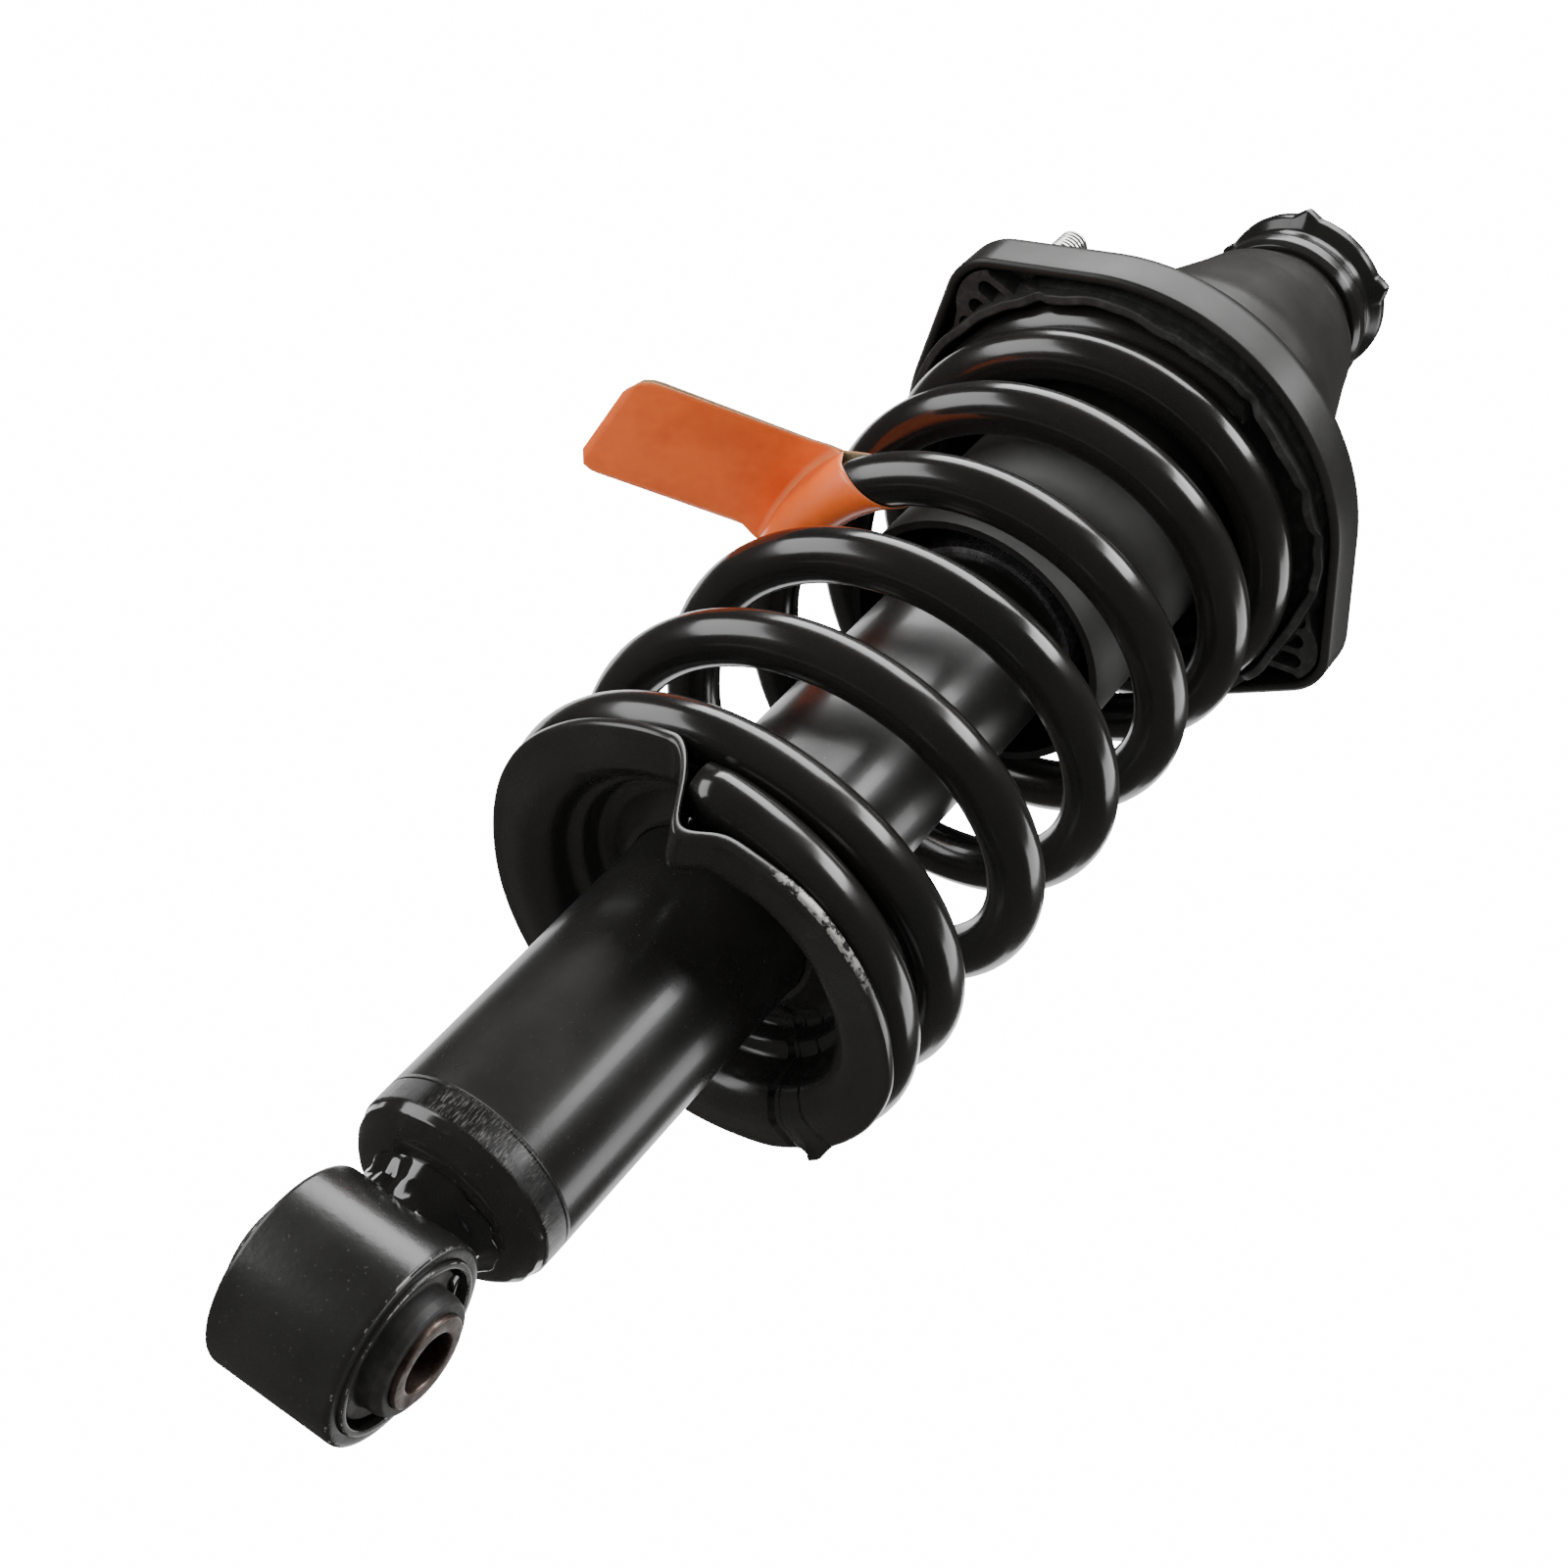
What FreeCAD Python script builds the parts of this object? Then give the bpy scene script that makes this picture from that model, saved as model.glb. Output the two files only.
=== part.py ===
"""Rear coil-over strut assembly with a two-stud upper mount.

Millimetres. The origin is the centre of the lower eye, +Z runs up the strut and the eye's bore lies along Y.
The damper hangs at its full length, held by the rebound stop.
"""
import FreeCAD
import Part
import math
import os

V = FreeCAD.Vector
UP = V(0, 0, 1)
ORIGIN = V(0, 0, 0)

# Lower eye and its bush
BOLT_BORE_R = 6.1
SLEEVE_R = 9.6
SLEEVE_LENGTH = 39.4
SLEEVE_CHAMFER = 0.5
EYE_R = 20.9
EYE_WALL = 3.0
EYE_LENGTH = 28.7
BUSH_SHELL_WALL = 1.4
BUSH_SHELL_STAND_OUT = 0.8
BUSH_FACE_DEPTH = 2.6
BUSH_GROOVE = 3.3
BUSH_BOSS_R = EYE_R - EYE_WALL - BUSH_SHELL_WALL - BUSH_GROOVE
BUSH_BOSS_RECESS = 1.0
BUSH_BOSS_CHAMFER = 1.3
BUSH_FACE_SLOPE = 1.0
EYE_TO_CAP_GAP = 0.1
CUT_OVERSHOOT = 10.0

# Reservoir
TUBE_R = 22.5
TUBE_WALL = 1.8
TUBE_TOP_Z = 234.0
CAP_CORNER_R = 12.5
CAP_WALL = 2.2
CAP_SKIRT = 3.0
NECK_R = 13.5
NECK_FLARE = 1.5
NECK_START_Z = 8.0
NECK_RISE = 6.0
STRIKER_WALL = 1.4
STRIKER_SKIRT = 9.0
STRIKER_HOLE_GAP = 2.0

# Damping parts inside the reservoir
PRESSURE_TUBE_BORE_R = 15.0
PRESSURE_TUBE_WALL = 1.2
BASE_VALVE_HEIGHT = 12.0
BASE_VALVE_FOOT = 21.0
VALVE_FLANGE = 3.0
VALVE_SKIRT_R = TUBE_R - CAP_CORNER_R - 0.1
VALVE_SKIRT_WALL = 3.0
VALVE_WINDOWS = 4
VALVE_WINDOW_WIDTH = 5.0
VALVE_WINDOW_SILL = 2.5
VALVE_PORTS = 6
VALVE_PORT_R = 1.2
VALVE_PORT_CIRCLE_R = 5.6
RIVET_R = 2.5
RIVET_HEAD_R = 4.0
RIVET_HEAD_HEIGHT = 1.8
DISC_R = 10.5
DISC_THICKNESS = 0.4
DISC_COUNT = 4
DISC_STEP = 1.5
GUIDE_HEIGHT = 12.0
GUIDE_SPIGOT = 5.0
ROD_BUSH_WALL = 1.5
SEAL_HEIGHT = 5.0
SEAL_TOP_R = 12.0
SEAL_LIP_TOP = 0.8
SEAL_LIP_FOOT = 2.2
SEAL_FOOT_R = 9.5
ROD_R = 7.0
ROD_SPIGOT_R = 5.0
RUNNING_GAP = 0.05
LOOSE_GAP = 0.3
EMBED = 0.3
PISTON_HEIGHT = 12.0
PISTON_RIM_GAP = 0.6
PISTON_BAND_HEIGHT = 7.0
PISTON_BAND_DEPTH = 1.2
PISTON_PORTS = 6
PISTON_PORT_R = 1.5
PISTON_PORT_CIRCLE_R = 9.0
PISTON_DISC_R = 12.0
PISTON_NUT_HEIGHT = 8.0
PISTON_NUT_FLATS = 15.0
ROD_TAIL = 2.0
PISTON_DROP = 28.0
REBOUND_STOP_HEIGHT = 9.0
REBOUND_STOP_R = 12.0
REBOUND_GAP = 0.1
REBOUND_RETAINER_HEIGHT = 3.0
REBOUND_RETAINER_R = 11.0

# Coil spring and the seat that carries it
SPRING_R = 48.1
WIRE_R = 6.2
COIL_GAP = 0.6
SPRING_START_TURN = -0.485
SPRING_END_TURN = 6.6
SPRING_START_Z = 105.4
CLOSED_PITCH = 2 * WIRE_R + COIL_GAP
UPPER_COIL_SHARE = 0.644
LOWER_LIFT_TURN = 0.52
UPPER_EASE_TURN = 4.55
UPPER_CLOSE_TURN = 5.5
PITCH_EASE = 0.22
SEAT_SHEET = 3.0
SEAT_RIM_R = SPRING_R + 4.5
SEAT_WALL_GAP = 0.5
SEAT_DOME_Z = SPRING_START_Z + 9.6
SEAT_STEP_R = 35.0
SEAT_STEP_RISE = 5.0
SEAT_HUB_R = 29.5
SEAT_HUB_TOP_Z = SEAT_DOME_Z + 11.0
SEAT_HUB_SKIRT = 4.0
SEAT_EDGE = 1.0
SEAT_DOME_EDGE = 1.2
SEAT_DIP = 6.0
STEP_ARC = 14.0
STEP_TAB = 2.0

# Dust cover and bump stop
COVER_GAP = 7.5
COVER_WALL = 2.0
COVER_R = TUBE_R + STRIKER_WALL + COVER_GAP + COVER_WALL
COVER_LENGTH = 79.8
COVER_BAND_R = COVER_R + 3.6
COVER_BAND_HEIGHT = 9.0
BUMP_STOP_R = 18.0
BUMP_STOP_LENGTH = 72.0
BUMP_STOP_WAVES = 3
BUMP_CUP_R = 20.0
BUMP_CUP_SHEET = 2.0
BUMP_CUP_DEPTH = 5.0
BUMP_HEAD = 8.0
BUMP_SHOULDER = 4.0
BUMP_WAVE_DEPTH = 4.0
BUMP_TAPER = 1.5
BUMP_NOSE = 4.0

# Upper mount
PLATE_TOP_Z = 303.0
PLATE_SHEET = 2.6
SKIRT_DEPTH = 16.0
SKIRT_CORNER_R = 4.0
PLATE_R = SPRING_R + WIRE_R + 6.9
PLATE_SHIFT_X = -2.4
PLATE_SHIFT_Y = -1.0
LOBE_R = 15.0
STUD_CIRCLE_R = SPRING_R + 6.9
STUD_ANGLES = (134.0, 289.0)
STUD_R = 4.0
STUD_STAND_OUT = 30.0
STUD_HEAD_R = 7.0
STUD_HEAD_HEIGHT = 3.0
STUD_CHAMFER = 0.8
STUD_SPLINE_R = 4.4
INSULATOR_R = SPRING_R + WIRE_R + 4.7
INSULATOR_RIM_Z = PLATE_TOP_Z - 19.0
INSULATOR_HUB_Z = PLATE_TOP_Z - 15.0
INSULATOR_PAD = 3.7
INSULATOR_LIP = 3.0
INSULATOR_FLARE = 5.0
INSULATOR_EDGE = 0.5
PAD_DEPTH = 9.5
SLOT_WIDTH = 4.6
SLOT_RIB = 2.2
SLOT_LENGTH = 10.5
SLOT_DEPTH = 7.0
SLOT_SLANT = 20.0
SLOT_COUNT = 4
SLOT_OFFSET = 5.0
BELL_WALL = 2.5
BELL_FLANGE_R = 48.0
BELL_FOOT_R = 42.0
BELL_KNEE_R = 28.0
BELL_KNEE_Z = PLATE_TOP_Z + 68.0
BELL_NECK_R = 20.6
BELL_TOP_Z = PLATE_TOP_Z + 89.0
BELL_HIP_R = 39.5
BELL_HIP_Z = PLATE_TOP_Z + 18.0
BELL_WAIST_R = 36.0
BELL_WAIST_Z = PLATE_TOP_Z + 40.0
BELL_SHOULDER_R = 24.6
BELL_SHOULDER_DROP = 12.0
BELL_NECK_DROP = 6.0
BELL_HOLE_GAP = 0.5
COLLAR_R = 22.7
COLLAR_WALL = 2.0
COLLAR_BOTTOM_Z = BELL_TOP_Z - 4.0
COLLAR_FLANGE_Z = BELL_TOP_Z + 10.0
COLLAR_FLANGE_R = 24.0
COLLAR_GROOVE_R = 21.3
COLLAR_HEIGHT = 17.0
COLLAR_CHAMFER = 0.9
COLLAR_BEAD_FOOT = 2.0
COLLAR_BEAD_TOP = 5.5
COLLAR_NECK_Z = 7.5
COLLAR_GROOVE_FOOT = 9.5
COLLAR_GROOVE_TOP = 11.0
COLLAR_RECESS_R = 20.0
COLLAR_RECESS = 2.5
LUG_COUNT = 5
LUG_R = 26.4
LUG_HALF_ANGLE = 11.0
LUG_ROOT = 1.0
ROD_SHOULDER_Z = BELL_TOP_Z - 12.0
ROD_THREAD_R = 5.0
BUSH_RUBBER_R = 17.0
BUSH_RUBBER_HEIGHT = 8.0
LOWER_BUSH_R = 15.5
WASHER_R = 17.5
WASHER_THICKNESS = 2.5
SPACER_WALL = 2.2
NUT_HEIGHT = 9.0
NUT_FLATS = 17.0
NUT_FLANGE_R = 11.0
NUT_FLANGE_THICKNESS = 1.8
THREAD_STAND_OUT = 4.0

# Tag round one coil
TAG_TURN = 3.318
TAG_WIDTH = 34.0
TAG_PLY = 0.5
TAG_LENGTH = 48.0
TAG_WRAP_GAP = 0.3
TAG_FOLD_OUT = 7.4
TAG_FOLD_UP = 5.6
TAG_DROOP = 32.0
TAG_ROOT_OUT = 3.3
TAG_ROOT_UP = 5.7


def disc(radius, height, base=ORIGIN, axis=UP):
    return Part.makeCylinder(radius, height, base, axis)


def ring(outer, inner, bottom, top):
    body = disc(outer, top - bottom, V(0, 0, bottom))
    return body.cut(disc(inner, top - bottom + 2, V(0, 0, bottom - 1)))


def revolve(points):
    """Solid of revolution of a closed outline given as (radius, height) points."""
    corners = [V(radius, 0, height) for radius, height in points]
    face = Part.Face(Part.makePolygon(corners + corners[:1]))
    return face.revolve(ORIGIN, UP, 360)


def along_y(shape):
    """Turn a shape built along Z so that it lies along Y."""
    shape = shape.copy()
    shape.rotate(ORIGIN, V(1, 0, 0), 90)
    return shape


def polar(radius, degrees, height=0.0):
    angle = math.radians(degrees)
    return V(radius * math.cos(angle), radius * math.sin(angle), height)


def hexagon(flats, height, bottom):
    corner = flats / math.sqrt(3)
    corners = [polar(corner, 60 * step, bottom) for step in range(7)]
    return Part.Face(Part.makePolygon(corners)).extrude(V(0, 0, height))


def write(name, shape):
    if isinstance(shape, list):
        shape = Part.makeCompound(shape)
    shape.exportStep(os.path.join("parts", name + ".step"))


def plate_under_z():
    return PLATE_TOP_Z - PLATE_SHEET


# Spring centreline

def ease(value, start):
    """Smooth change from 0 to 1 around a turn."""
    share = min(1.0, max(0.0, (value - start) / PITCH_EASE + 0.5))
    return share * share * (3 - 2 * share)


def openness(turn):
    """How far the coils stand apart at a turn, from 0 where they are closed to 1 along the main coils."""
    lifted = ease(turn, LOWER_LIFT_TURN)
    tighter = (1 - UPPER_COIL_SHARE) * ease(turn, UPPER_EASE_TURN)
    closed = UPPER_COIL_SHARE * ease(turn, UPPER_CLOSE_TURN)
    return lifted - tighter - closed


def spring_end_z():
    return plate_under_z() - INSULATOR_PAD - LOOSE_GAP - WIRE_R


def spring_heights(per_turn):
    """Heights of the wire's centre from the seat to the upper insulator, in equal steps of angle."""
    count = int(round((SPRING_END_TURN - SPRING_START_TURN) * per_turn))
    step = (SPRING_END_TURN - SPRING_START_TURN) / count
    middles = [SPRING_START_TURN + (index + 0.5) * step for index in range(count)]
    spare = spring_end_z() - SPRING_START_Z - CLOSED_PITCH * count * step
    lift = spare / sum(openness(turn) * step for turn in middles)
    rows = [(SPRING_START_TURN, SPRING_START_Z)]
    for turn in middles:
        rise = (CLOSED_PITCH + lift * openness(turn)) * step
        rows.append((turn + step / 2, rows[-1][1] + rise))
    return rows


def spring_height_at(turn):
    rows = spring_heights(48)
    step = rows[1][0] - rows[0][0]
    index = min(len(rows) - 2, max(0, int((turn - rows[0][0]) / step)))
    share = (turn - rows[index][0]) / step
    return rows[index][1] + share * (rows[index + 1][1] - rows[index][1])


def wire_along_spring(radius, points):
    """Round bar through centreline points given as (turn, height)."""
    path = Part.BSplineCurve()
    path.interpolate([polar(SPRING_R, 360 * turn, height) for turn, height in points])
    start = path.value(path.FirstParameter)
    tangent = path.tangent(path.FirstParameter)[0]
    section = Part.Wire([Part.Circle(start, tangent, radius).toShape()])
    sweep = Part.BRepOffsetAPI.MakePipeShell(Part.Wire([path.toShape()]))
    sweep.setFrenetMode(True)
    sweep.add(section)
    sweep.build()
    sweep.makeSolid()
    return sweep.shape()


def coil_spring():
    return wire_along_spring(WIRE_R, spring_heights(16))


# Helical sheet bands, used by the lower seat and the insulator

def helical_band(start_degrees, end_degrees, start_z, rise_per_turn, outline):
    """Solid that climbs round the axis; its outline is (radius, height above the path) points."""
    turns = (end_degrees - start_degrees) / 360.0
    corners = [V(radius, 0, height) for radius, height in outline]
    middle = sum(corner.x for corner in corners) / len(corners)
    spine = Part.Wire(Part.makeHelix(rise_per_turn, rise_per_turn * turns, middle).Edges)
    sweep = Part.BRepOffsetAPI.MakePipeShell(spine)
    sweep.setFrenetMode(True)
    sweep.add(Part.makePolygon(corners + corners[:1]))
    sweep.build()
    sweep.makeSolid()
    band = sweep.shape()
    band.rotate(ORIGIN, UP, start_degrees)
    band.translate(V(0, 0, start_z))
    return band


# Lower eye

def eye_ring():
    half = EYE_LENGTH / 2
    inner = EYE_R - EYE_WALL
    return along_y(ring(EYE_R, inner, -half, half))


def bush_shell_inner_r():
    return EYE_R - EYE_WALL - BUSH_SHELL_WALL


def bush_shell():
    half = EYE_LENGTH / 2 + BUSH_SHELL_STAND_OUT
    return along_y(ring(EYE_R - EYE_WALL, bush_shell_inner_r(), -half, half))


def bush_rubber():
    edge = EYE_LENGTH / 2 + BUSH_SHELL_STAND_OUT
    outer = bush_shell_inner_r()
    boss = SLEEVE_LENGTH / 2 - BUSH_BOSS_RECESS
    chamfer = BUSH_BOSS_CHAMFER
    rim = BUSH_FACE_DEPTH - BUSH_FACE_SLOPE
    points = [
        (SLEEVE_R, -boss),
        (BUSH_BOSS_R - chamfer, -boss),
        (BUSH_BOSS_R, -boss + chamfer),
        (BUSH_BOSS_R, -edge + BUSH_FACE_DEPTH),
        (outer, -edge + rim),
        (outer, edge - rim),
        (BUSH_BOSS_R, edge - BUSH_FACE_DEPTH),
        (BUSH_BOSS_R, boss - chamfer),
        (BUSH_BOSS_R - chamfer, boss),
        (SLEEVE_R, boss),
    ]
    return along_y(revolve(points))


def bush_sleeve():
    half = SLEEVE_LENGTH / 2
    edge = SLEEVE_R - SLEEVE_CHAMFER
    points = [
        (BOLT_BORE_R, -half),
        (edge, -half),
        (SLEEVE_R, -half + SLEEVE_CHAMFER),
        (SLEEVE_R, half - SLEEVE_CHAMFER),
        (edge, half),
        (BOLT_BORE_R, half),
    ]
    return along_y(revolve(points))


def cap_bottom_z():
    return EYE_R + EYE_TO_CAP_GAP


def cap_solid(radius, bottom, corner, top):
    """Blunt round-cornered plug that stands on its closed end."""
    plug = disc(radius, top - bottom, V(0, 0, bottom))
    foot = [edge for edge in plug.Edges if abs(edge.BoundBox.ZMax - bottom) < 0.01 and edge.isClosed()]
    return plug.makeFillet(corner, foot)


def base_cap():
    bottom = cap_bottom_z()
    top = bottom + CAP_CORNER_R + CAP_SKIRT
    outside = cap_solid(TUBE_R, bottom, CAP_CORNER_R, top)
    inside = cap_solid(TUBE_R - CAP_WALL, bottom + CAP_WALL, CAP_CORNER_R - CAP_WALL, top + 1)
    return outside.cut(inside)


def weld_neck():
    bottom = cap_bottom_z()
    height = bottom + NECK_RISE - NECK_START_Z
    neck = Part.makeCone(NECK_R + NECK_FLARE, NECK_R, height, V(0, 0, NECK_START_Z))
    neck = neck.cut(along_y(disc(EYE_R, 2 * NECK_R + 2 * CUT_OVERSHOOT, V(0, 0, -NECK_R - CUT_OVERSHOOT))))
    return neck.cut(cap_solid(TUBE_R, bottom, CAP_CORNER_R, cap_top_z()))


def cap_top_z():
    return cap_bottom_z() + CAP_CORNER_R + CAP_SKIRT


def reservoir_tube():
    return ring(TUBE_R, TUBE_R - TUBE_WALL, cap_top_z(), TUBE_TOP_Z)


def striker_cap():
    skirt_bottom = TUBE_TOP_Z - STRIKER_SKIRT
    top = TUBE_TOP_Z + STRIKER_WALL
    shell = ring(TUBE_R + STRIKER_WALL, TUBE_R, skirt_bottom, top)
    lid = ring(TUBE_R, ROD_R + STRIKER_HOLE_GAP, TUBE_TOP_Z, top)
    return shell.fuse(lid).removeSplitter()


# Damping parts

def base_valve_bottom_z():
    return cap_bottom_z() + CAP_WALL


def base_valve_top_z():
    return base_valve_bottom_z() + BASE_VALVE_FOOT + BASE_VALVE_HEIGHT


def base_valve_body():
    floor = base_valve_bottom_z()
    shoulder = floor + BASE_VALVE_FOOT
    top = base_valve_top_z()
    tube_outer = PRESSURE_TUBE_BORE_R + PRESSURE_TUBE_WALL
    body = disc(PRESSURE_TUBE_BORE_R, top - shoulder, V(0, 0, shoulder))
    body = body.fuse(disc(tube_outer, VALVE_FLANGE, V(0, 0, shoulder - VALVE_FLANGE)))
    body = body.fuse(ring(VALVE_SKIRT_R, VALVE_SKIRT_R - VALVE_SKIRT_WALL, floor, shoulder - VALVE_FLANGE))
    height = BASE_VALVE_FOOT - VALVE_FLANGE - 2 * VALVE_WINDOW_SILL
    for step in range(VALVE_WINDOWS):
        corner = V(0, -VALVE_WINDOW_WIDTH / 2, floor + VALVE_WINDOW_SILL)
        window = Part.makeBox(tube_outer, VALVE_WINDOW_WIDTH, height, corner)
        window.rotate(ORIGIN, UP, 360 * step / VALVE_WINDOWS)
        body = body.cut(window)
    under = shoulder - VALVE_FLANGE - 1
    for step in range(VALVE_PORTS):
        port = polar(VALVE_PORT_CIRCLE_R, 360 * step / VALVE_PORTS, under)
        body = body.cut(disc(VALVE_PORT_R, top - under + 1, port))
    return body.cut(disc(RIVET_R, top - floor + 1, V(0, 0, floor)))


def disc_stack(bottom):
    """Thin valve discs that lie on each other."""
    discs = []
    for step in range(DISC_COUNT):
        foot = bottom + step * DISC_THICKNESS
        discs.append(ring(DISC_R - DISC_STEP * step, RIVET_R, foot, foot + DISC_THICKNESS))
    return discs


def base_valve_rivet():
    shoulder = base_valve_bottom_z() + BASE_VALVE_FOOT - VALVE_FLANGE
    head_z = base_valve_top_z() + DISC_COUNT * DISC_THICKNESS
    shank = disc(RIVET_R, head_z - shoulder, V(0, 0, shoulder))
    head = disc(RIVET_HEAD_R, RIVET_HEAD_HEIGHT, V(0, 0, head_z))
    foot = disc(RIVET_HEAD_R, RIVET_HEAD_HEIGHT, V(0, 0, shoulder - RIVET_HEAD_HEIGHT))
    return shank.fuse([head, foot]).removeSplitter()


def guide_bottom_z():
    return TUBE_TOP_Z - SEAL_HEIGHT - GUIDE_HEIGHT


def pressure_tube():
    bottom = base_valve_bottom_z() + BASE_VALVE_FOOT
    outer = PRESSURE_TUBE_BORE_R + PRESSURE_TUBE_WALL
    return ring(outer, PRESSURE_TUBE_BORE_R, bottom, guide_bottom_z())


def rod_guide():
    bottom = guide_bottom_z()
    bore = ROD_R + RUNNING_GAP + ROD_BUSH_WALL
    plate = ring(TUBE_R - TUBE_WALL, bore, bottom, bottom + GUIDE_HEIGHT)
    spigot = ring(PRESSURE_TUBE_BORE_R, bore, bottom - GUIDE_SPIGOT, bottom)
    return plate.fuse(spigot).removeSplitter()


def rod_bush():
    inner = ROD_R + RUNNING_GAP
    bottom = guide_bottom_z() - GUIDE_SPIGOT
    return ring(inner + ROD_BUSH_WALL, inner, bottom, guide_bottom_z() + GUIDE_HEIGHT)


def rod_seal():
    bottom = guide_bottom_z() + GUIDE_HEIGHT
    top = TUBE_TOP_Z
    lip = ROD_R + RUNNING_GAP
    outer = TUBE_R - TUBE_WALL
    points = [
        (outer, bottom),
        (outer, top),
        (SEAL_TOP_R, top),
        (lip, top - SEAL_LIP_TOP),
        (lip, top - SEAL_LIP_FOOT),
        (SEAL_FOOT_R, bottom),
    ]
    return revolve(points)


# Piston and rod

def rebound_top_z():
    return guide_bottom_z() - GUIDE_SPIGOT - REBOUND_GAP


def rebound_stop():
    top = rebound_top_z()
    return ring(REBOUND_STOP_R, ROD_R, top - REBOUND_STOP_HEIGHT, top)


def rebound_retainer():
    top = rebound_top_z() - REBOUND_STOP_HEIGHT
    return ring(REBOUND_RETAINER_R, ROD_R, top - REBOUND_RETAINER_HEIGHT, top)


def piston_top_z():
    return rebound_top_z() - REBOUND_STOP_HEIGHT - REBOUND_RETAINER_HEIGHT - PISTON_DROP + PISTON_HEIGHT


def piston():
    top = piston_top_z()
    outer = PRESSURE_TUBE_BORE_R - PISTON_RIM_GAP
    body = ring(outer, ROD_SPIGOT_R, top - PISTON_HEIGHT, top)
    groove_bottom = top - (PISTON_HEIGHT + PISTON_BAND_HEIGHT) / 2
    groove_top = groove_bottom + PISTON_BAND_HEIGHT
    body = body.cut(ring(outer + CUT_OVERSHOOT, outer - PISTON_BAND_DEPTH, groove_bottom, groove_top))
    for step in range(PISTON_PORTS):
        port = polar(PISTON_PORT_CIRCLE_R, 360 * step / PISTON_PORTS, top - PISTON_HEIGHT)
        body = body.cut(disc(PISTON_PORT_R, PISTON_HEIGHT, port))
    return body


def piston_band():
    outer = PRESSURE_TUBE_BORE_R - RUNNING_GAP
    inner = PRESSURE_TUBE_BORE_R - PISTON_RIM_GAP - PISTON_BAND_DEPTH
    bottom = piston_top_z() - (PISTON_HEIGHT + PISTON_BAND_HEIGHT) / 2
    return ring(outer, inner, bottom, bottom + PISTON_BAND_HEIGHT)


def piston_discs():
    discs = []
    bottom = piston_top_z() - PISTON_HEIGHT
    for step in range(DISC_COUNT):
        radius = PISTON_DISC_R - DISC_STEP * step
        above = piston_top_z() + step * DISC_THICKNESS
        below = bottom - (step + 1) * DISC_THICKNESS
        discs.append(ring(radius, ROD_SPIGOT_R, above, above + DISC_THICKNESS))
        discs.append(ring(radius, ROD_SPIGOT_R, below, below + DISC_THICKNESS))
    return discs


def piston_nut_top_z():
    return piston_top_z() - PISTON_HEIGHT - DISC_COUNT * DISC_THICKNESS


def piston_nut():
    bottom = piston_nut_top_z() - PISTON_NUT_HEIGHT
    nut = hexagon(PISTON_NUT_FLATS, PISTON_NUT_HEIGHT, bottom)
    return nut.cut(disc(ROD_SPIGOT_R, PISTON_NUT_HEIGHT, V(0, 0, bottom)))


def rod_end_z():
    return nut_top_z() + THREAD_STAND_OUT


def piston_rod():
    spigot_top = piston_top_z() + DISC_COUNT * DISC_THICKNESS
    spigot_bottom = piston_nut_top_z() - PISTON_NUT_HEIGHT - ROD_TAIL
    spigot = disc(ROD_SPIGOT_R, spigot_top - spigot_bottom, V(0, 0, spigot_bottom))
    shank = disc(ROD_R, ROD_SHOULDER_Z - spigot_top, V(0, 0, spigot_top))
    thread = disc(ROD_THREAD_R, rod_end_z() - ROD_SHOULDER_Z, V(0, 0, ROD_SHOULDER_Z))
    return spigot.fuse([shank, thread]).removeSplitter()


# Lower spring seat

def seat_wall_r():
    return SPRING_R - WIRE_R - SEAT_WALL_GAP


def seat_angles():
    """Where the helical shelf starts and ends, on either side of the step."""
    start = 360 * SPRING_START_TURN + 360
    middle = start - math.degrees(STEP_ARC / 2 / SPRING_R)
    half = math.degrees(STEP_ARC / 2 / SPRING_R)
    return middle + half, middle - half + 360


def seat_shelf_z(degrees):
    """Height of the shelf's upper face."""
    start, _ = seat_angles()
    turn = (degrees - start) / 360.0
    return SPRING_START_Z - WIRE_R - LOOSE_GAP + CLOSED_PITCH * turn


def seat_step():
    """Wall between the shelf's two ends, with a dip at its foot, that stops the wire's end."""
    start, end = seat_angles()
    low = seat_shelf_z(start) - EMBED
    high = seat_shelf_z(end) - EMBED
    half = STEP_ARC / 2
    sheet = SEAT_SHEET - 2 * EMBED
    upper = [
        (-half - STEP_TAB, high),
        (-half + 1.5 * STEP_TAB, high),
        (-STEP_TAB / 2, low + SEAT_DIP / 6),
        (STEP_TAB, low - SEAT_DIP / 2),
        (half - STEP_TAB / 2, low - SEAT_DIP / 6),
        (half + STEP_TAB, low),
    ]
    lower = [
        (half + STEP_TAB, low - sheet),
        (half - STEP_TAB, low - sheet - 5 * SEAT_DIP / 6),
        (0.0, low - sheet - SEAT_DIP),
        (-1.75 * STEP_TAB, low - sheet - SEAT_DIP / 3),
        (-half, high - sheet - SEAT_DIP / 6),
        (-half - STEP_TAB, high - sheet),
    ]
    middle = (start + end - 360) / 2
    corners = [V(0, along, height) for along, height in upper + lower]
    face = Part.Face(Part.makePolygon(corners + corners[:1]))
    wall = face.extrude(V(SEAT_RIM_R + CUT_OVERSHOOT, 0, 0))
    wall.rotate(ORIGIN, UP, middle)
    inner = seat_wall_r() - SEAT_SHEET + EMBED
    return wall.common(ring(SEAT_RIM_R - EMBED, inner, low - 2 * CUT_OVERSHOOT, high + CUT_OVERSHOOT))


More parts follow.
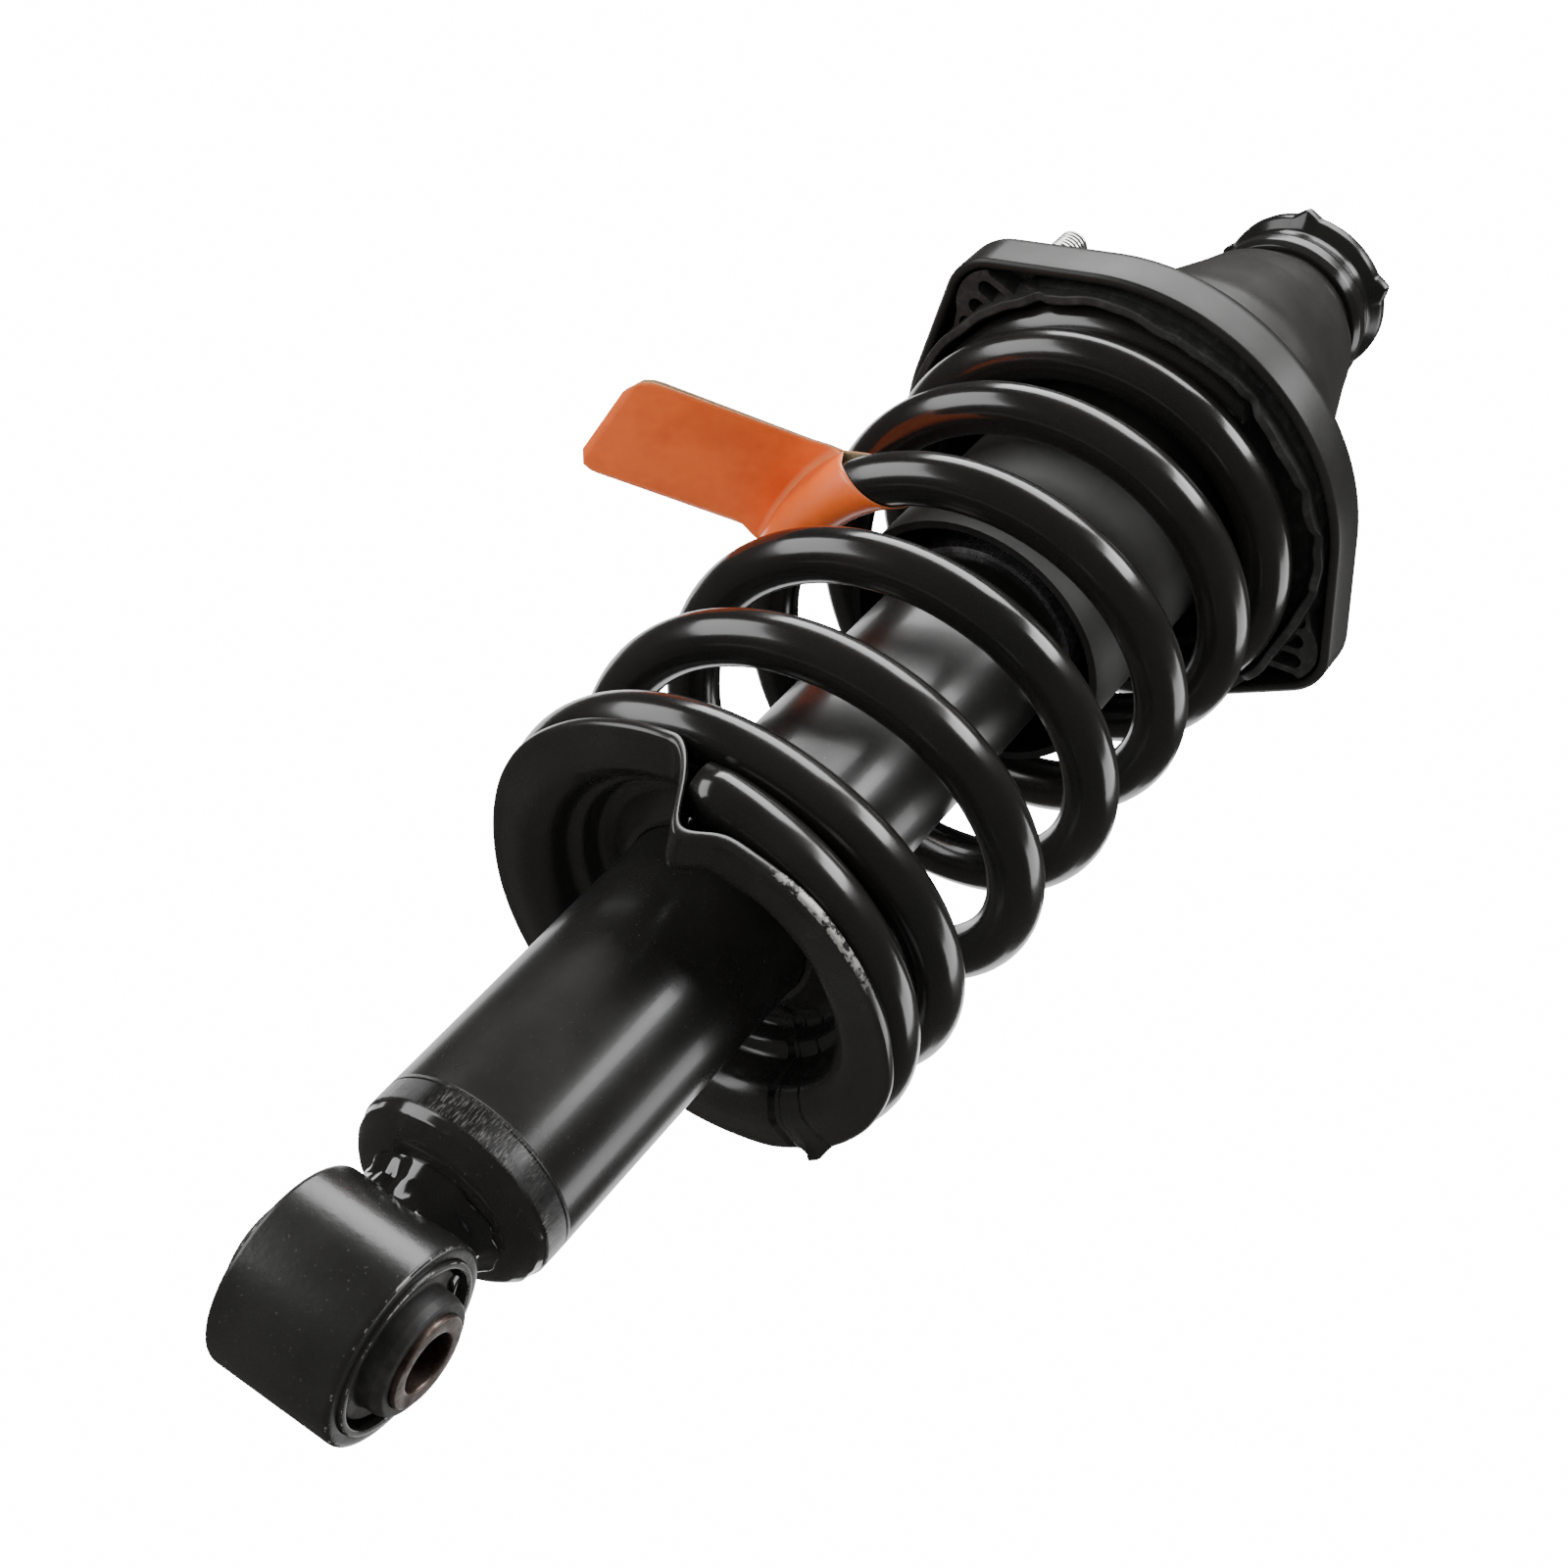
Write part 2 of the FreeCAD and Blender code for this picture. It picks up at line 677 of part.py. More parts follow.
def lower_spring_seat():
    start, end = seat_angles()
    wall = seat_wall_r()
    inner = wall - SEAT_SHEET
    sheet = SEAT_SHEET
    dome_z = SEAT_DOME_Z
    step_z = dome_z + SEAT_STEP_RISE
    upright_top = 2 * CLOSED_PITCH
    outline = [
        (inner, -sheet + SEAT_EDGE),
        (inner + SEAT_EDGE, -sheet),
        (SEAT_RIM_R, -sheet),
        (SEAT_RIM_R, 0),
        (wall, 0),
        (wall, upright_top),
        (inner, upright_top),
    ]
    shelf = helical_band(start, end, seat_shelf_z(start), CLOSED_PITCH, outline)
    shelf = shelf.cut(disc(SEAT_RIM_R + CUT_OVERSHOOT, upright_top, V(0, 0, dome_z + sheet / 2)))
    points = [
        (wall - EMBED, dome_z),
        (wall - EMBED, dome_z + sheet - SEAT_EDGE),
        (wall - SEAT_DOME_EDGE, dome_z + sheet),
        (SEAT_STEP_R + sheet, dome_z + sheet),
        (SEAT_STEP_R, step_z + sheet),
        (SEAT_HUB_R + sheet, step_z + sheet),
        (TUBE_R + sheet, SEAT_HUB_TOP_Z),
        (TUBE_R, SEAT_HUB_TOP_Z),
        (TUBE_R, step_z - SEAT_HUB_SKIRT),
        (TUBE_R + sheet / 2, step_z - SEAT_HUB_SKIRT),
        (SEAT_HUB_R, step_z),
        (SEAT_STEP_R - sheet + SEAT_EDGE, step_z),
        (SEAT_STEP_R, dome_z),
    ]
    return shelf.fuse([revolve(points), seat_step()]).removeSplitter()


# Dust cover and bump stop

def dust_cover():
    top = plate_under_z()
    inner = COVER_R - COVER_WALL
    tube = ring(COVER_R, inner, top - COVER_LENGTH, top)
    band = ring(COVER_BAND_R, inner, top - COVER_BAND_HEIGHT, top)
    return tube.fuse(band).removeSplitter()


def bump_cup_top_z():
    return ROD_SHOULDER_Z


def bump_cup():
    top = bump_cup_top_z()
    outer = BUMP_CUP_R
    lid = ring(outer, ROD_R + LOOSE_GAP, top - BUMP_CUP_SHEET, top)
    skirt = ring(outer, outer - BUMP_CUP_SHEET, top - BUMP_CUP_SHEET - BUMP_CUP_DEPTH, top - BUMP_CUP_SHEET)
    return lid.fuse(skirt).removeSplitter()


def bump_stop():
    top = bump_cup_top_z() - BUMP_CUP_SHEET
    bottom = top - BUMP_STOP_LENGTH
    outer = BUMP_CUP_R - BUMP_CUP_SHEET
    head = BUMP_HEAD + BUMP_SHOULDER
    wave = (BUMP_STOP_LENGTH - head) / BUMP_STOP_WAVES
    points = [(ROD_R + LOOSE_GAP, top), (outer, top), (outer, top - BUMP_HEAD)]
    for step in range(BUMP_STOP_WAVES):
        radius = BUMP_STOP_R - BUMP_TAPER * step
        crest = top - head - wave * (step + 0.5)
        points.append((radius - BUMP_WAVE_DEPTH, crest + wave * 0.42))
        points.append((radius, crest + wave * 0.1))
        points.append((radius, crest - wave * 0.1))
    points.append((ROD_R + BUMP_NOSE, bottom))
    points.append((ROD_R + LOOSE_GAP, bottom))
    return revolve(points)


# Upper mount

def tangent_outline(circles):
    """Closed wire round circles given anticlockwise as (x, y, radius)."""
    edges = []
    spans = []
    count = len(circles)
    for index in range(count):
        x1, y1, r1 = circles[index]
        x2, y2, r2 = circles[(index + 1) % count]
        length = math.hypot(x2 - x1, y2 - y1)
        normal = math.atan2(y2 - y1, x2 - x1) - math.acos((r1 - r2) / length)
        start = V(x1 + r1 * math.cos(normal), y1 + r1 * math.sin(normal), 0)
        end = V(x2 + r2 * math.cos(normal), y2 + r2 * math.sin(normal), 0)
        spans.append((normal, start, end))
    for index in range(count):
        x, y, radius = circles[index]
        arrive_angle, _, arrive = spans[index - 1]
        leave_angle, leave, end = spans[index]
        turn = (leave_angle - arrive_angle) % (2 * math.pi)
        middle_angle = arrive_angle + turn / 2
        middle = V(x + radius * math.cos(middle_angle), y + radius * math.sin(middle_angle), 0)
        edges.append(Part.Arc(arrive, middle, leave).toShape())
        edges.append(Part.LineSegment(leave, end).toShape())
    return Part.Wire(edges)


def plate_solid(inset, bottom, top):
    body = (PLATE_SHIFT_X, PLATE_SHIFT_Y, PLATE_R - inset)
    lobes = []
    for angle in STUD_ANGLES:
        centre = polar(STUD_CIRCLE_R, angle)
        lobes.append((centre.x, centre.y, LOBE_R - inset))
    outline = tangent_outline([lobes[0], body, lobes[1], body])
    solid = Part.Face(outline).extrude(V(0, 0, top - bottom))
    solid.translate(V(0, 0, bottom))
    return solid


def mount_plate():
    top = PLATE_TOP_Z
    bottom = top - SKIRT_DEPTH
    outside = plate_solid(0, bottom, top)
    rim = [edge for edge in outside.Edges if edge.BoundBox.ZMin > top - 0.01]
    outside = outside.makeFillet(SKIRT_CORNER_R, rim)
    inside = plate_solid(PLATE_SHEET, bottom - 1, top - PLATE_SHEET)
    plate = outside.cut(inside)
    plate = plate.cut(disc(COVER_R - COVER_WALL, SKIRT_DEPTH, V(0, 0, bottom)))
    for angle in STUD_ANGLES:
        plate = plate.cut(disc(STUD_SPLINE_R, SKIRT_DEPTH, polar(STUD_CIRCLE_R, angle, bottom)))
    return plate


def stud(angle):
    under = plate_under_z()
    shank = disc(STUD_R, STUD_STAND_OUT, polar(STUD_CIRCLE_R, angle, PLATE_TOP_Z))
    tip = [edge for edge in shank.Edges if edge.BoundBox.ZMin > PLATE_TOP_Z + 1 and edge.isClosed()]
    shank = shank.makeChamfer(STUD_CHAMFER, tip)
    spline = disc(STUD_SPLINE_R, PLATE_SHEET, polar(STUD_CIRCLE_R, angle, under))
    head = disc(STUD_HEAD_R, STUD_HEAD_HEIGHT, polar(STUD_CIRCLE_R, angle, under - STUD_HEAD_HEIGHT))
    return shank.fuse([spline, head]).removeSplitter()


def lobe_slots(angle):
    """Parallel slots across the pad under one lobe, slanted from the lobe's own direction."""
    slots = []
    bottom = plate_under_z() - PAD_DEPTH - 1
    direction = math.radians(angle - SLOT_SLANT)
    pitch_across = SLOT_WIDTH + SLOT_RIB
    for step in range(SLOT_COUNT):
        across = (step - (SLOT_COUNT - 1) / 2) * pitch_across
        middle = polar(STUD_CIRCLE_R + SLOT_OFFSET, angle)
        slot = Part.makeBox(SLOT_LENGTH, SLOT_WIDTH, SLOT_DEPTH + 1, V(-SLOT_LENGTH / 2, -SLOT_WIDTH / 2, 0))
        slot.rotate(ORIGIN, UP, math.degrees(direction))
        sideways = V(-math.sin(direction), math.cos(direction), 0)
        slot.translate(V(middle.x, middle.y, bottom) + sideways * across)
        slots.append(slot)
    return slots


def insulator():
    top = plate_under_z()
    hub = COVER_BAND_R
    coil_top = top - INSULATOR_PAD
    inner_wall = SPRING_R - WIRE_R - LOOSE_GAP
    outer_wall = SPRING_R + WIRE_R + LOOSE_GAP
    points = [
        (hub, top),
        (INSULATOR_R, top),
        (INSULATOR_R, INSULATOR_RIM_Z),
        (INSULATOR_R - INSULATOR_LIP, INSULATOR_RIM_Z),
        (outer_wall, INSULATOR_RIM_Z + INSULATOR_FLARE),
        (outer_wall, coil_top),
        (inner_wall, coil_top),
        (inner_wall, INSULATOR_HUB_Z),
        (hub, INSULATOR_HUB_Z),
    ]
    channel = revolve(points)
    allowed = plate_solid(PLATE_SHEET + LOOSE_GAP, INSULATOR_RIM_Z - 1, top)
    channel = channel.common(allowed)
    core = disc(INSULATOR_R - INSULATOR_EDGE, PAD_DEPTH, V(0, 0, top - PAD_DEPTH))
    pad = plate_solid(PLATE_SHEET + LOOSE_GAP, top - PAD_DEPTH, top).cut(core)
    for angle in STUD_ANGLES:
        pad = pad.cut(Part.makeCompound(lobe_slots(angle)))
    rubber = channel.fuse(pad)
    for angle in STUD_ANGLES:
        seat = polar(STUD_CIRCLE_R, angle, top - STUD_HEAD_HEIGHT)
        rubber = rubber.cut(disc(STUD_HEAD_R, STUD_HEAD_HEIGHT + 1, seat))
    return rubber.removeSplitter()


def bell_profile(inset):
    """Outer line of the bell's wall from its foot to its neck, moved inwards by inset."""
    foot = (BELL_FOOT_R - inset, PLATE_TOP_Z)
    hip = (BELL_HIP_R - inset, BELL_HIP_Z)
    waist = (BELL_WAIST_R - inset, BELL_WAIST_Z)
    knee = (BELL_KNEE_R - inset, BELL_KNEE_Z)
    shoulder = (BELL_SHOULDER_R - inset, BELL_TOP_Z - BELL_SHOULDER_DROP - inset / 2)
    neck = (BELL_NECK_R - inset, BELL_TOP_Z - BELL_NECK_DROP - inset / 2)
    return [foot, hip, waist, knee, shoulder, neck]


def bell():
    outer = bell_profile(0)
    inner = bell_profile(BELL_WALL)
    hole = ROD_THREAD_R + SPACER_WALL + BELL_HOLE_GAP
    top = BELL_TOP_Z
    web = top - BELL_WALL
    points = [(BELL_FLANGE_R, PLATE_TOP_Z), (BELL_FLANGE_R, PLATE_TOP_Z + BELL_WALL)]
    points.append((BELL_FOOT_R, PLATE_TOP_Z + BELL_WALL))
    points += outer[1:]
    points += [(BELL_NECK_R, top), (hole, top), (hole, web), (BELL_NECK_R - BELL_WALL, web)]
    points += reversed(inner)
    return revolve(points)


def collar():
    bottom = COLLAR_BOTTOM_Z
    top = bottom + COLLAR_HEIGHT
    flange = COLLAR_FLANGE_Z
    wall = COLLAR_WALL
    points = [
        (BELL_NECK_R, bottom),
        (COLLAR_R - COLLAR_CHAMFER, bottom),
        (COLLAR_R, bottom + COLLAR_BEAD_FOOT),
        (COLLAR_R, bottom + COLLAR_BEAD_TOP),
        (COLLAR_R - COLLAR_CHAMFER, bottom + COLLAR_NECK_Z),
        (COLLAR_GROOVE_R, bottom + COLLAR_GROOVE_FOOT),
        (COLLAR_GROOVE_R, bottom + COLLAR_GROOVE_TOP),
        (COLLAR_FLANGE_R, flange),
        (COLLAR_FLANGE_R, top),
        (COLLAR_RECESS_R, top),
        (COLLAR_GROOVE_R - wall, top - COLLAR_RECESS),
        (COLLAR_GROOVE_R - wall, BELL_TOP_Z),
        (BELL_NECK_R, BELL_TOP_Z),
    ]
    body = revolve(points)
    for step in range(LUG_COUNT):
        middle = 360 * step / LUG_COUNT
        corners = [
            polar(COLLAR_FLANGE_R - LUG_ROOT, middle - LUG_HALF_ANGLE, flange),
            polar(LUG_R, middle, flange),
            polar(COLLAR_FLANGE_R - LUG_ROOT, middle + LUG_HALF_ANGLE, flange),
        ]
        lug = Part.Face(Part.makePolygon(corners + corners[:1])).extrude(V(0, 0, top - flange))
        body = body.fuse(lug)
    return body.removeSplitter()


def lower_washer_top_z():
    return ROD_SHOULDER_Z + WASHER_THICKNESS


def washer(bottom):
    return ring(WASHER_R, ROD_THREAD_R, bottom, bottom + WASHER_THICKNESS)


def lower_bush():
    inner = ROD_THREAD_R + SPACER_WALL
    return ring(LOWER_BUSH_R, inner, lower_washer_top_z(), BELL_TOP_Z - BELL_WALL)


def upper_bush_top_z():
    return BELL_TOP_Z + BUSH_RUBBER_HEIGHT


def upper_bush():
    return ring(BUSH_RUBBER_R, ROD_THREAD_R + SPACER_WALL, BELL_TOP_Z, upper_bush_top_z())


def spacer_sleeve():
    return ring(ROD_THREAD_R + SPACER_WALL, ROD_THREAD_R, lower_washer_top_z(), upper_bush_top_z())


def nut_top_z():
    return upper_bush_top_z() + WASHER_THICKNESS + NUT_HEIGHT


def rod_nut():
    bottom = nut_top_z() - NUT_HEIGHT
    flange = disc(NUT_FLANGE_R, NUT_FLANGE_THICKNESS, V(0, 0, bottom))
    nut = hexagon(NUT_FLATS, NUT_HEIGHT, bottom).fuse(flange)
    return nut.cut(disc(ROD_THREAD_R, NUT_HEIGHT, V(0, 0, bottom))).removeSplitter()


# Tag

def warning_tag():
    """Paper strip folded round one coil, its two plies lying together as a flag outside the spring."""
    half_span = TAG_WIDTH / 2 / (2 * math.pi * SPRING_R)
    turns = [TAG_TURN + half_span * step / 4 for step in range(-6, 7)]
    rows = [(turn, spring_height_at(turn)) for turn in turns]
    inner = WIRE_R + TAG_WRAP_GAP
    outer = inner + TAG_PLY
    core = wire_along_spring(inner, rows)
    wrap = wire_along_spring(outer, rows[2:-2]).cut(core)
    wire_z = spring_height_at(TAG_TURN)
    root = (SPRING_R + TAG_ROOT_OUT, wire_z + TAG_ROOT_UP)
    fold = (SPRING_R + TAG_FOLD_OUT, wire_z + TAG_FOLD_UP)
    droop = math.radians(TAG_DROOP)
    tip = (fold[0] + TAG_LENGTH * math.cos(droop), fold[1] - TAG_LENGTH * math.sin(droop))
    upper = [V(radius, -TAG_WIDTH / 2, height + TAG_PLY) for radius, height in (root, fold, tip)]
    lower = [V(radius, -TAG_WIDTH / 2, height - TAG_PLY) for radius, height in (tip, fold, root)]
    corners = upper + lower
    flag = Part.Face(Part.makePolygon(corners + corners[:1])).extrude(V(0, TAG_WIDTH, 0))
    flag.rotate(ORIGIN, UP, 360 * TAG_TURN)
    return wrap.fuse(flag.cut(core)).removeSplitter()


def make_all():
    write("eye_ring", eye_ring())
    write("bush_shell", bush_shell())
    write("bush_rubber", bush_rubber())
    write("bush_sleeve", bush_sleeve())
    write("weld_neck", weld_neck())
    write("base_cap", base_cap())
    write("reservoir_tube", reservoir_tube())
    write("striker_cap", striker_cap())
    write("pressure_tube", pressure_tube())
    write("base_valve_body", base_valve_body())
    write("base_valve_discs", disc_stack(base_valve_top_z()))
    write("base_valve_rivet", base_valve_rivet())
    write("rod_guide", rod_guide())
    write("rod_bush", rod_bush())
    write("rod_seal", rod_seal())
    write("lower_spring_seat", lower_spring_seat())
    write("coil_spring", coil_spring())
    write("warning_tag", warning_tag())
    write("piston_rod", piston_rod())
    write("piston", piston())
    write("piston_band", piston_band())
    write("piston_discs", piston_discs())
    write("piston_nut", piston_nut())
    write("rebound_stop", rebound_stop())
    write("rebound_retainer", rebound_retainer())
    write("bump_stop", bump_stop())
    write("bump_cup", bump_cup())
    write("dust_cover", dust_cover())
    write("insulator", insulator())
    write("mount_plate", mount_plate())
    write("mount_studs", [stud(angle) for angle in STUD_ANGLES])
    write("bell", bell())
    write("collar", collar())
    write("lower_washer", washer(ROD_SHOULDER_Z))
    write("lower_bush", lower_bush())
    write("spacer_sleeve", spacer_sleeve())
    write("upper_bush", upper_bush())
    write("upper_washer", washer(upper_bush_top_z()))
    write("rod_nut", rod_nut())


os.makedirs("parts", exist_ok=True)
make_all()
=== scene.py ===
"""Looks for the coil-over strut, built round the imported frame.

Sizes and outlines are in millimetres, and meshes in metres, in the frame's own axes: the origin is the
lower eye's centre and +Z runs up the strut. Degrees and turns round the strut count from +X towards +Y.
"""
import math

import bmesh
import bpy
import numpy as np
from mathutils import Matrix, Vector, noise


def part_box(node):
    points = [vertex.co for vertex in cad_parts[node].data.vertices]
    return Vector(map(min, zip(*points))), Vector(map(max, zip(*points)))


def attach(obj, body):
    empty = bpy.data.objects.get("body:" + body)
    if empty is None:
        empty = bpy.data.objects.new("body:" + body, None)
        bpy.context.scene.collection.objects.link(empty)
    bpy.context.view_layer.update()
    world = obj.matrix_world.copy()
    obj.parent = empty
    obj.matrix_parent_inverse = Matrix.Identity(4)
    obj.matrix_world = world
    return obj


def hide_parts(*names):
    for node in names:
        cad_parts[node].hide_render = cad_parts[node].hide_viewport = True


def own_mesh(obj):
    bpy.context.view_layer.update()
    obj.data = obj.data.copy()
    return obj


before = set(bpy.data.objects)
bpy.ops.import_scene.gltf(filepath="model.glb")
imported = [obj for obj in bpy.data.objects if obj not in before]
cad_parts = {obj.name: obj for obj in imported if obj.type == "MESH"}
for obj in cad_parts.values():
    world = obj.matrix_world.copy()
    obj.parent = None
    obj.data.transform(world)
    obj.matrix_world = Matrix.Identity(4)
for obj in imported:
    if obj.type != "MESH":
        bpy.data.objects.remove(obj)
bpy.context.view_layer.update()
MM = 0.001

# Sizes, taken from the frame where a CAD node has them


def low(node):
    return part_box(node)[0] / MM


def high(node):
    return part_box(node)[1] / MM


# Lower eye and its bush
FIT_GAP = 0.02
EYE_R = high("eye_ring").x
EYE_HALF = high("eye_ring").y
SHELL_R = high("bush_shell").x
SHELL_HALF = high("bush_shell").y
SHELL_WALL = 1.4
BOSS_HALF = high("bush_rubber").y
BOSS_R = 12.4
BUSH_FACE_DEPTH = 2.0
BUSH_GROOVE_WIDTH = 1.1
BUSH_GROOVE_DEPTH = 2.4
SLEEVE_R = high("bush_sleeve").x
SLEEVE_HALF = high("bush_sleeve").y
BOLT_R = 6.1

# Reservoir. Each edge of its scraped band is a pair of heights between which the band fades.
TUBE_R = high("reservoir_tube").x
TUBE_WALL = 1.8
TUBE_LOW = low("reservoir_tube").z
TUBE_TOP = high("reservoir_tube").z
BAND_LOW = (30.6, 31.1)
BAND_TOP = (37.4, 36.6)
CAP_GLOSS = (31.1, 30.4)
COVER_BAND_R = high("dust_cover").x

# Upper mount
PLATE_TOP = high("mount_plate").z
PLATE_LOW = low("mount_plate").z
PLATE_CENTRE = Vector((-2.4, -1.0, 0))
PLATE_R = 61.2
PLATE_SHEET = 2.6
PLATE_CORNER = 5.5
PLATE_HOLE_R = 31.3
PLATE_FLAT_R = 46.0
LOBE_R = 15.0
UNDER_PLATE = PLATE_TOP - PLATE_SHEET - 0.05
PAD_R = 57.5
PAD_LOW = PLATE_LOW + 0.8
PAD_INSET = 3.2
SLOT_COUNT = 4
SLOT_DEPTH = 6.5
SLOT_LENGTH = 12.0
SLOT_WIDTH = 4.3
SLOT_RIB = 2.0
SLOT_SLANT = 28.0
INSULATOR_RIM_Z = PLATE_TOP - 19.0
INSULATOR_HUB_Z = PLATE_TOP - 15.0
INSULATOR_PAD = 3.7
RIM_NOTCHES = (212, 238, 251, 268, 305, 20, 75, 150)
BELL_TOP = high("bell").z
BELL_FLANGE_R = high("bell").x
BELL_WALL = 2.5
BELL_FOOT_R = 42.0
BELL_NECK_R = 20.6
BELL_HOLE_R = 7.7
COLLAR_LOW = low("collar").z
COLLAR_TOP = high("collar").z
COLLAR_BORE_R = BELL_NECK_R + 0.05
COLLAR_FLANGE_R = 24.0
COLLAR_RECESS_R = 19.3
LUG_COUNT = 5
LUG_TURN = -25.0
LUG_HALF_ANGLE = 9.0
LUG_REACH = 2.1
STUD_CIRCLE_R = 55.0
STUD_ANGLES = (134.0, 289.0)
STUD_TIP = high("mount_studs").z - 5.0
STUD_SPLINE_R = 4.35
STUD_SHANK_R = 3.95
THREAD_PITCH = 1.25
THREAD_ROOT_R = 3.45
THREAD_CREST_R = 3.98

# Bump stop
STOP_TOP = high("bump_stop").z
STOP_LOW = low("bump_stop").z
STOP_R = high("bump_stop").x
STOP_BORE_R = 7.3
STOP_HEAD = 8.0
STOP_SHOULDER = 4.0
STOP_WAVES = 3
STOP_TAPER = 1.5

# Spring. Its start and end are (turn, height) of the wire's centre.
SPRING_R = 48.1
WIRE_R = 6.2
SPRING_START = (-0.485, 105.4)
SPRING_END = (6.6, 290.2)
CLOSED_PITCH = 13.0
UPPER_COIL_SHARE = 0.644
LIFT_TURN = 0.52
UPPER_EASE_TURN = 4.55
UPPER_CLOSE_TURN = 5.5
PITCH_EASE = 0.22
FOOT_END_TURN = 0.16
WIRE_CUT_TURN = -0.5
WIRE_CUT_SHARE = 0.90
WIRE_SIDES = 32
STEPS_PER_TURN = 96

# Lower seat. Its rim has a pointed crease at one place and is worn at another, in degrees.
SEAT_SHEET = 3.0
SEAT_RIM_R = 52.6
SEAT_WALL_R = 41.4
SEAT_DOME_Z = 115.0
SEAT_STEP_R = 35.0
SEAT_STEP_RISE = 5.0
SEAT_HUB_R = 29.5
SEAT_HUB_TOP = high("lower_spring_seat").z
SEAT_FIT_GAP = 0.05
STEP_TURN = 0.492
STEP_HALF = 0.023
CREASE = 311.5
WORN = 222

# Tag. Its fold and loop are seen along the wire, from the wire's centre.
TAG_TURN = 3.318
TAG_HALF_WIDTH = 17.0
TAG_LENGTH = 48.0
TAG_CORNER = 6.0
TAG_FOLD = Vector((7.4, 5.4))
TAG_DROOP = math.radians(32)
TAG_GAP = 0.45
TAG_PLY = 0.18
TAG_PLY_GAP = 0.22
TAG_SKEW = 11.0
TAG_SKEW_PEAK = 16.0
TAG_SKEW_END = 3.0
FLAG_STEPS = 22
LEG_STEPS = 5
LOOP_STEPS = 28
LOOP_PEAK_STEP = 11
TAG_COLUMNS = 24

# Camera and lights
CAMERA_PLACE = Vector((-380.4, -161.1, -152.3)) * MM
CAMERA_VIEW = Vector((0.73423, 0.32906, 0.59382)).normalized()
CAMERA_UP = Vector((-0.08425, -0.82357, 0.56092)).cross(CAMERA_VIEW).normalized()
CAMERA_SIDE = CAMERA_VIEW.cross(CAMERA_UP)
CAMERA_TURN = 203.4
LENS = 53.77
SENSOR = 36.0
TARGET = Vector((0, 0, 190)) * MM
LIGHTS = {
    "key": (-42, 50, 1.1, (1.2, 0.6), 22),
    "streak": (24, 36, 1.1, (0.28, 0.9), 10),
    "side": (92, 24, 1.1, (0.40, 0.8), 4),
    "left": (-80, -18, 1.1, (0.6, 1.0), 10),
    "back_left": (-150, 28, 1.2, (0.7, 0.9), 4),
    "back_right": (155, 20, 1.2, (0.7, 0.9), 4),
}
FLOOR_HALF = 3.0
FLOOR_Z = -0.62


# Small helpers


def polar(radius, degrees, height=0.0):
    angle = math.radians(degrees)
    return Vector((radius * math.cos(angle), radius * math.sin(angle), height))


def from_axis(place):
    return math.hypot(place.x, place.y)


def smooth(value, start, end):
    share = min(1.0, max(0.0, (value - start) / (end - start)))
    return share * share * (3 - 2 * share)


def hump(value, middle, width):
    return math.exp(-(((value - middle) / width) ** 2))


def apart(first, second):
    """Signed degrees from second to first, the short way round."""
    return (first - second + 180) % 360 - 180


def link(name, data):
    """New object in the scene."""
    made = bpy.data.objects.new(name, data)
    bpy.context.scene.collection.objects.link(made)
    return made


# Studio


def add_camera():
    data = bpy.data.cameras.new("camera")
    data.lens = LENS
    data.sensor_width = SENSOR
    camera = link("camera", data)
    basis = Matrix((CAMERA_SIDE, CAMERA_UP, -CAMERA_VIEW)).transposed()
    camera.matrix_world = Matrix.Translation(CAMERA_PLACE) @ basis.to_4x4()
    bpy.context.scene.camera = camera


def add_light(name, turned, raised, distance, size, power):
    """Soft area light facing the strut, turned round it from the camera and raised towards its top."""
    data = bpy.data.lights.new(name, "AREA")
    data.shape = "RECTANGLE"
    data.size, data.size_y = size
    data.energy = power
    light = link(name, data)
    tilt = math.radians(raised)
    away = polar(math.cos(tilt), CAMERA_TURN + turned, math.sin(tilt))
    light.location = TARGET + away * distance
    light.rotation_mode = "QUATERNION"
    light.rotation_quaternion = away.to_track_quat("Z", "Y")


def add_world():
    """White behind the strut where the camera looks, and a dim warm fill for everything else."""
    world = bpy.data.worlds.new("studio")
    bpy.context.scene.world = world
    world.use_nodes = True
    nodes, links = world.node_tree.nodes, world.node_tree.links
    backdrop = nodes["Background"]
    backdrop.inputs["Color"].default_value = rgb(1.0, 1.0, 1.0)
    backdrop.inputs["Strength"].default_value = 16.0
    dim = nodes.new("ShaderNodeBackground")
    dim.inputs["Color"].default_value = rgb(1.0, 0.98, 0.94)
    dim.inputs["Strength"].default_value = 0.08
    path = nodes.new("ShaderNodeLightPath")
    chosen = nodes.new("ShaderNodeMixShader")
    links.new(path.outputs["Is Camera Ray"], chosen.inputs[0])
    links.new(dim.outputs[0], chosen.inputs[1])
    links.new(backdrop.outputs[0], chosen.inputs[2])
    links.new(chosen.outputs[0], nodes["World Output"].inputs["Surface"])


def add_floor():
    """Plain pale floor below the strut, which its paint doesn't mirror."""
    corners = [(x * FLOOR_HALF, y * FLOOR_HALF, FLOOR_Z) for x, y in ((-1, -1), (1, -1), (1, 1), (-1, 1))]
    mesh = bpy.data.meshes.new("floor")
    mesh.from_pydata(corners, [], [(0, 1, 2, 3)])
    pale = Material("floor_pale")
    pale.finish(Base_Color=rgb(0.8, 0.8, 0.8), Roughness=0.7)
    mesh.materials.append(pale.finish(Emission_Color=rgb(1.0, 1.0, 1.0), Emission_Strength=0.7))
    floor = link("floor", mesh)
    floor.visible_glossy = False


# Materials


def rgb(red, green, blue):
    return (red, green, blue, 1.0)


def scaled(colour, factor, lift=0.0):
    """The colour made lighter or darker by a factor."""
    return rgb(*(min(1.0, factor * value + lift) for value in colour[:3]))


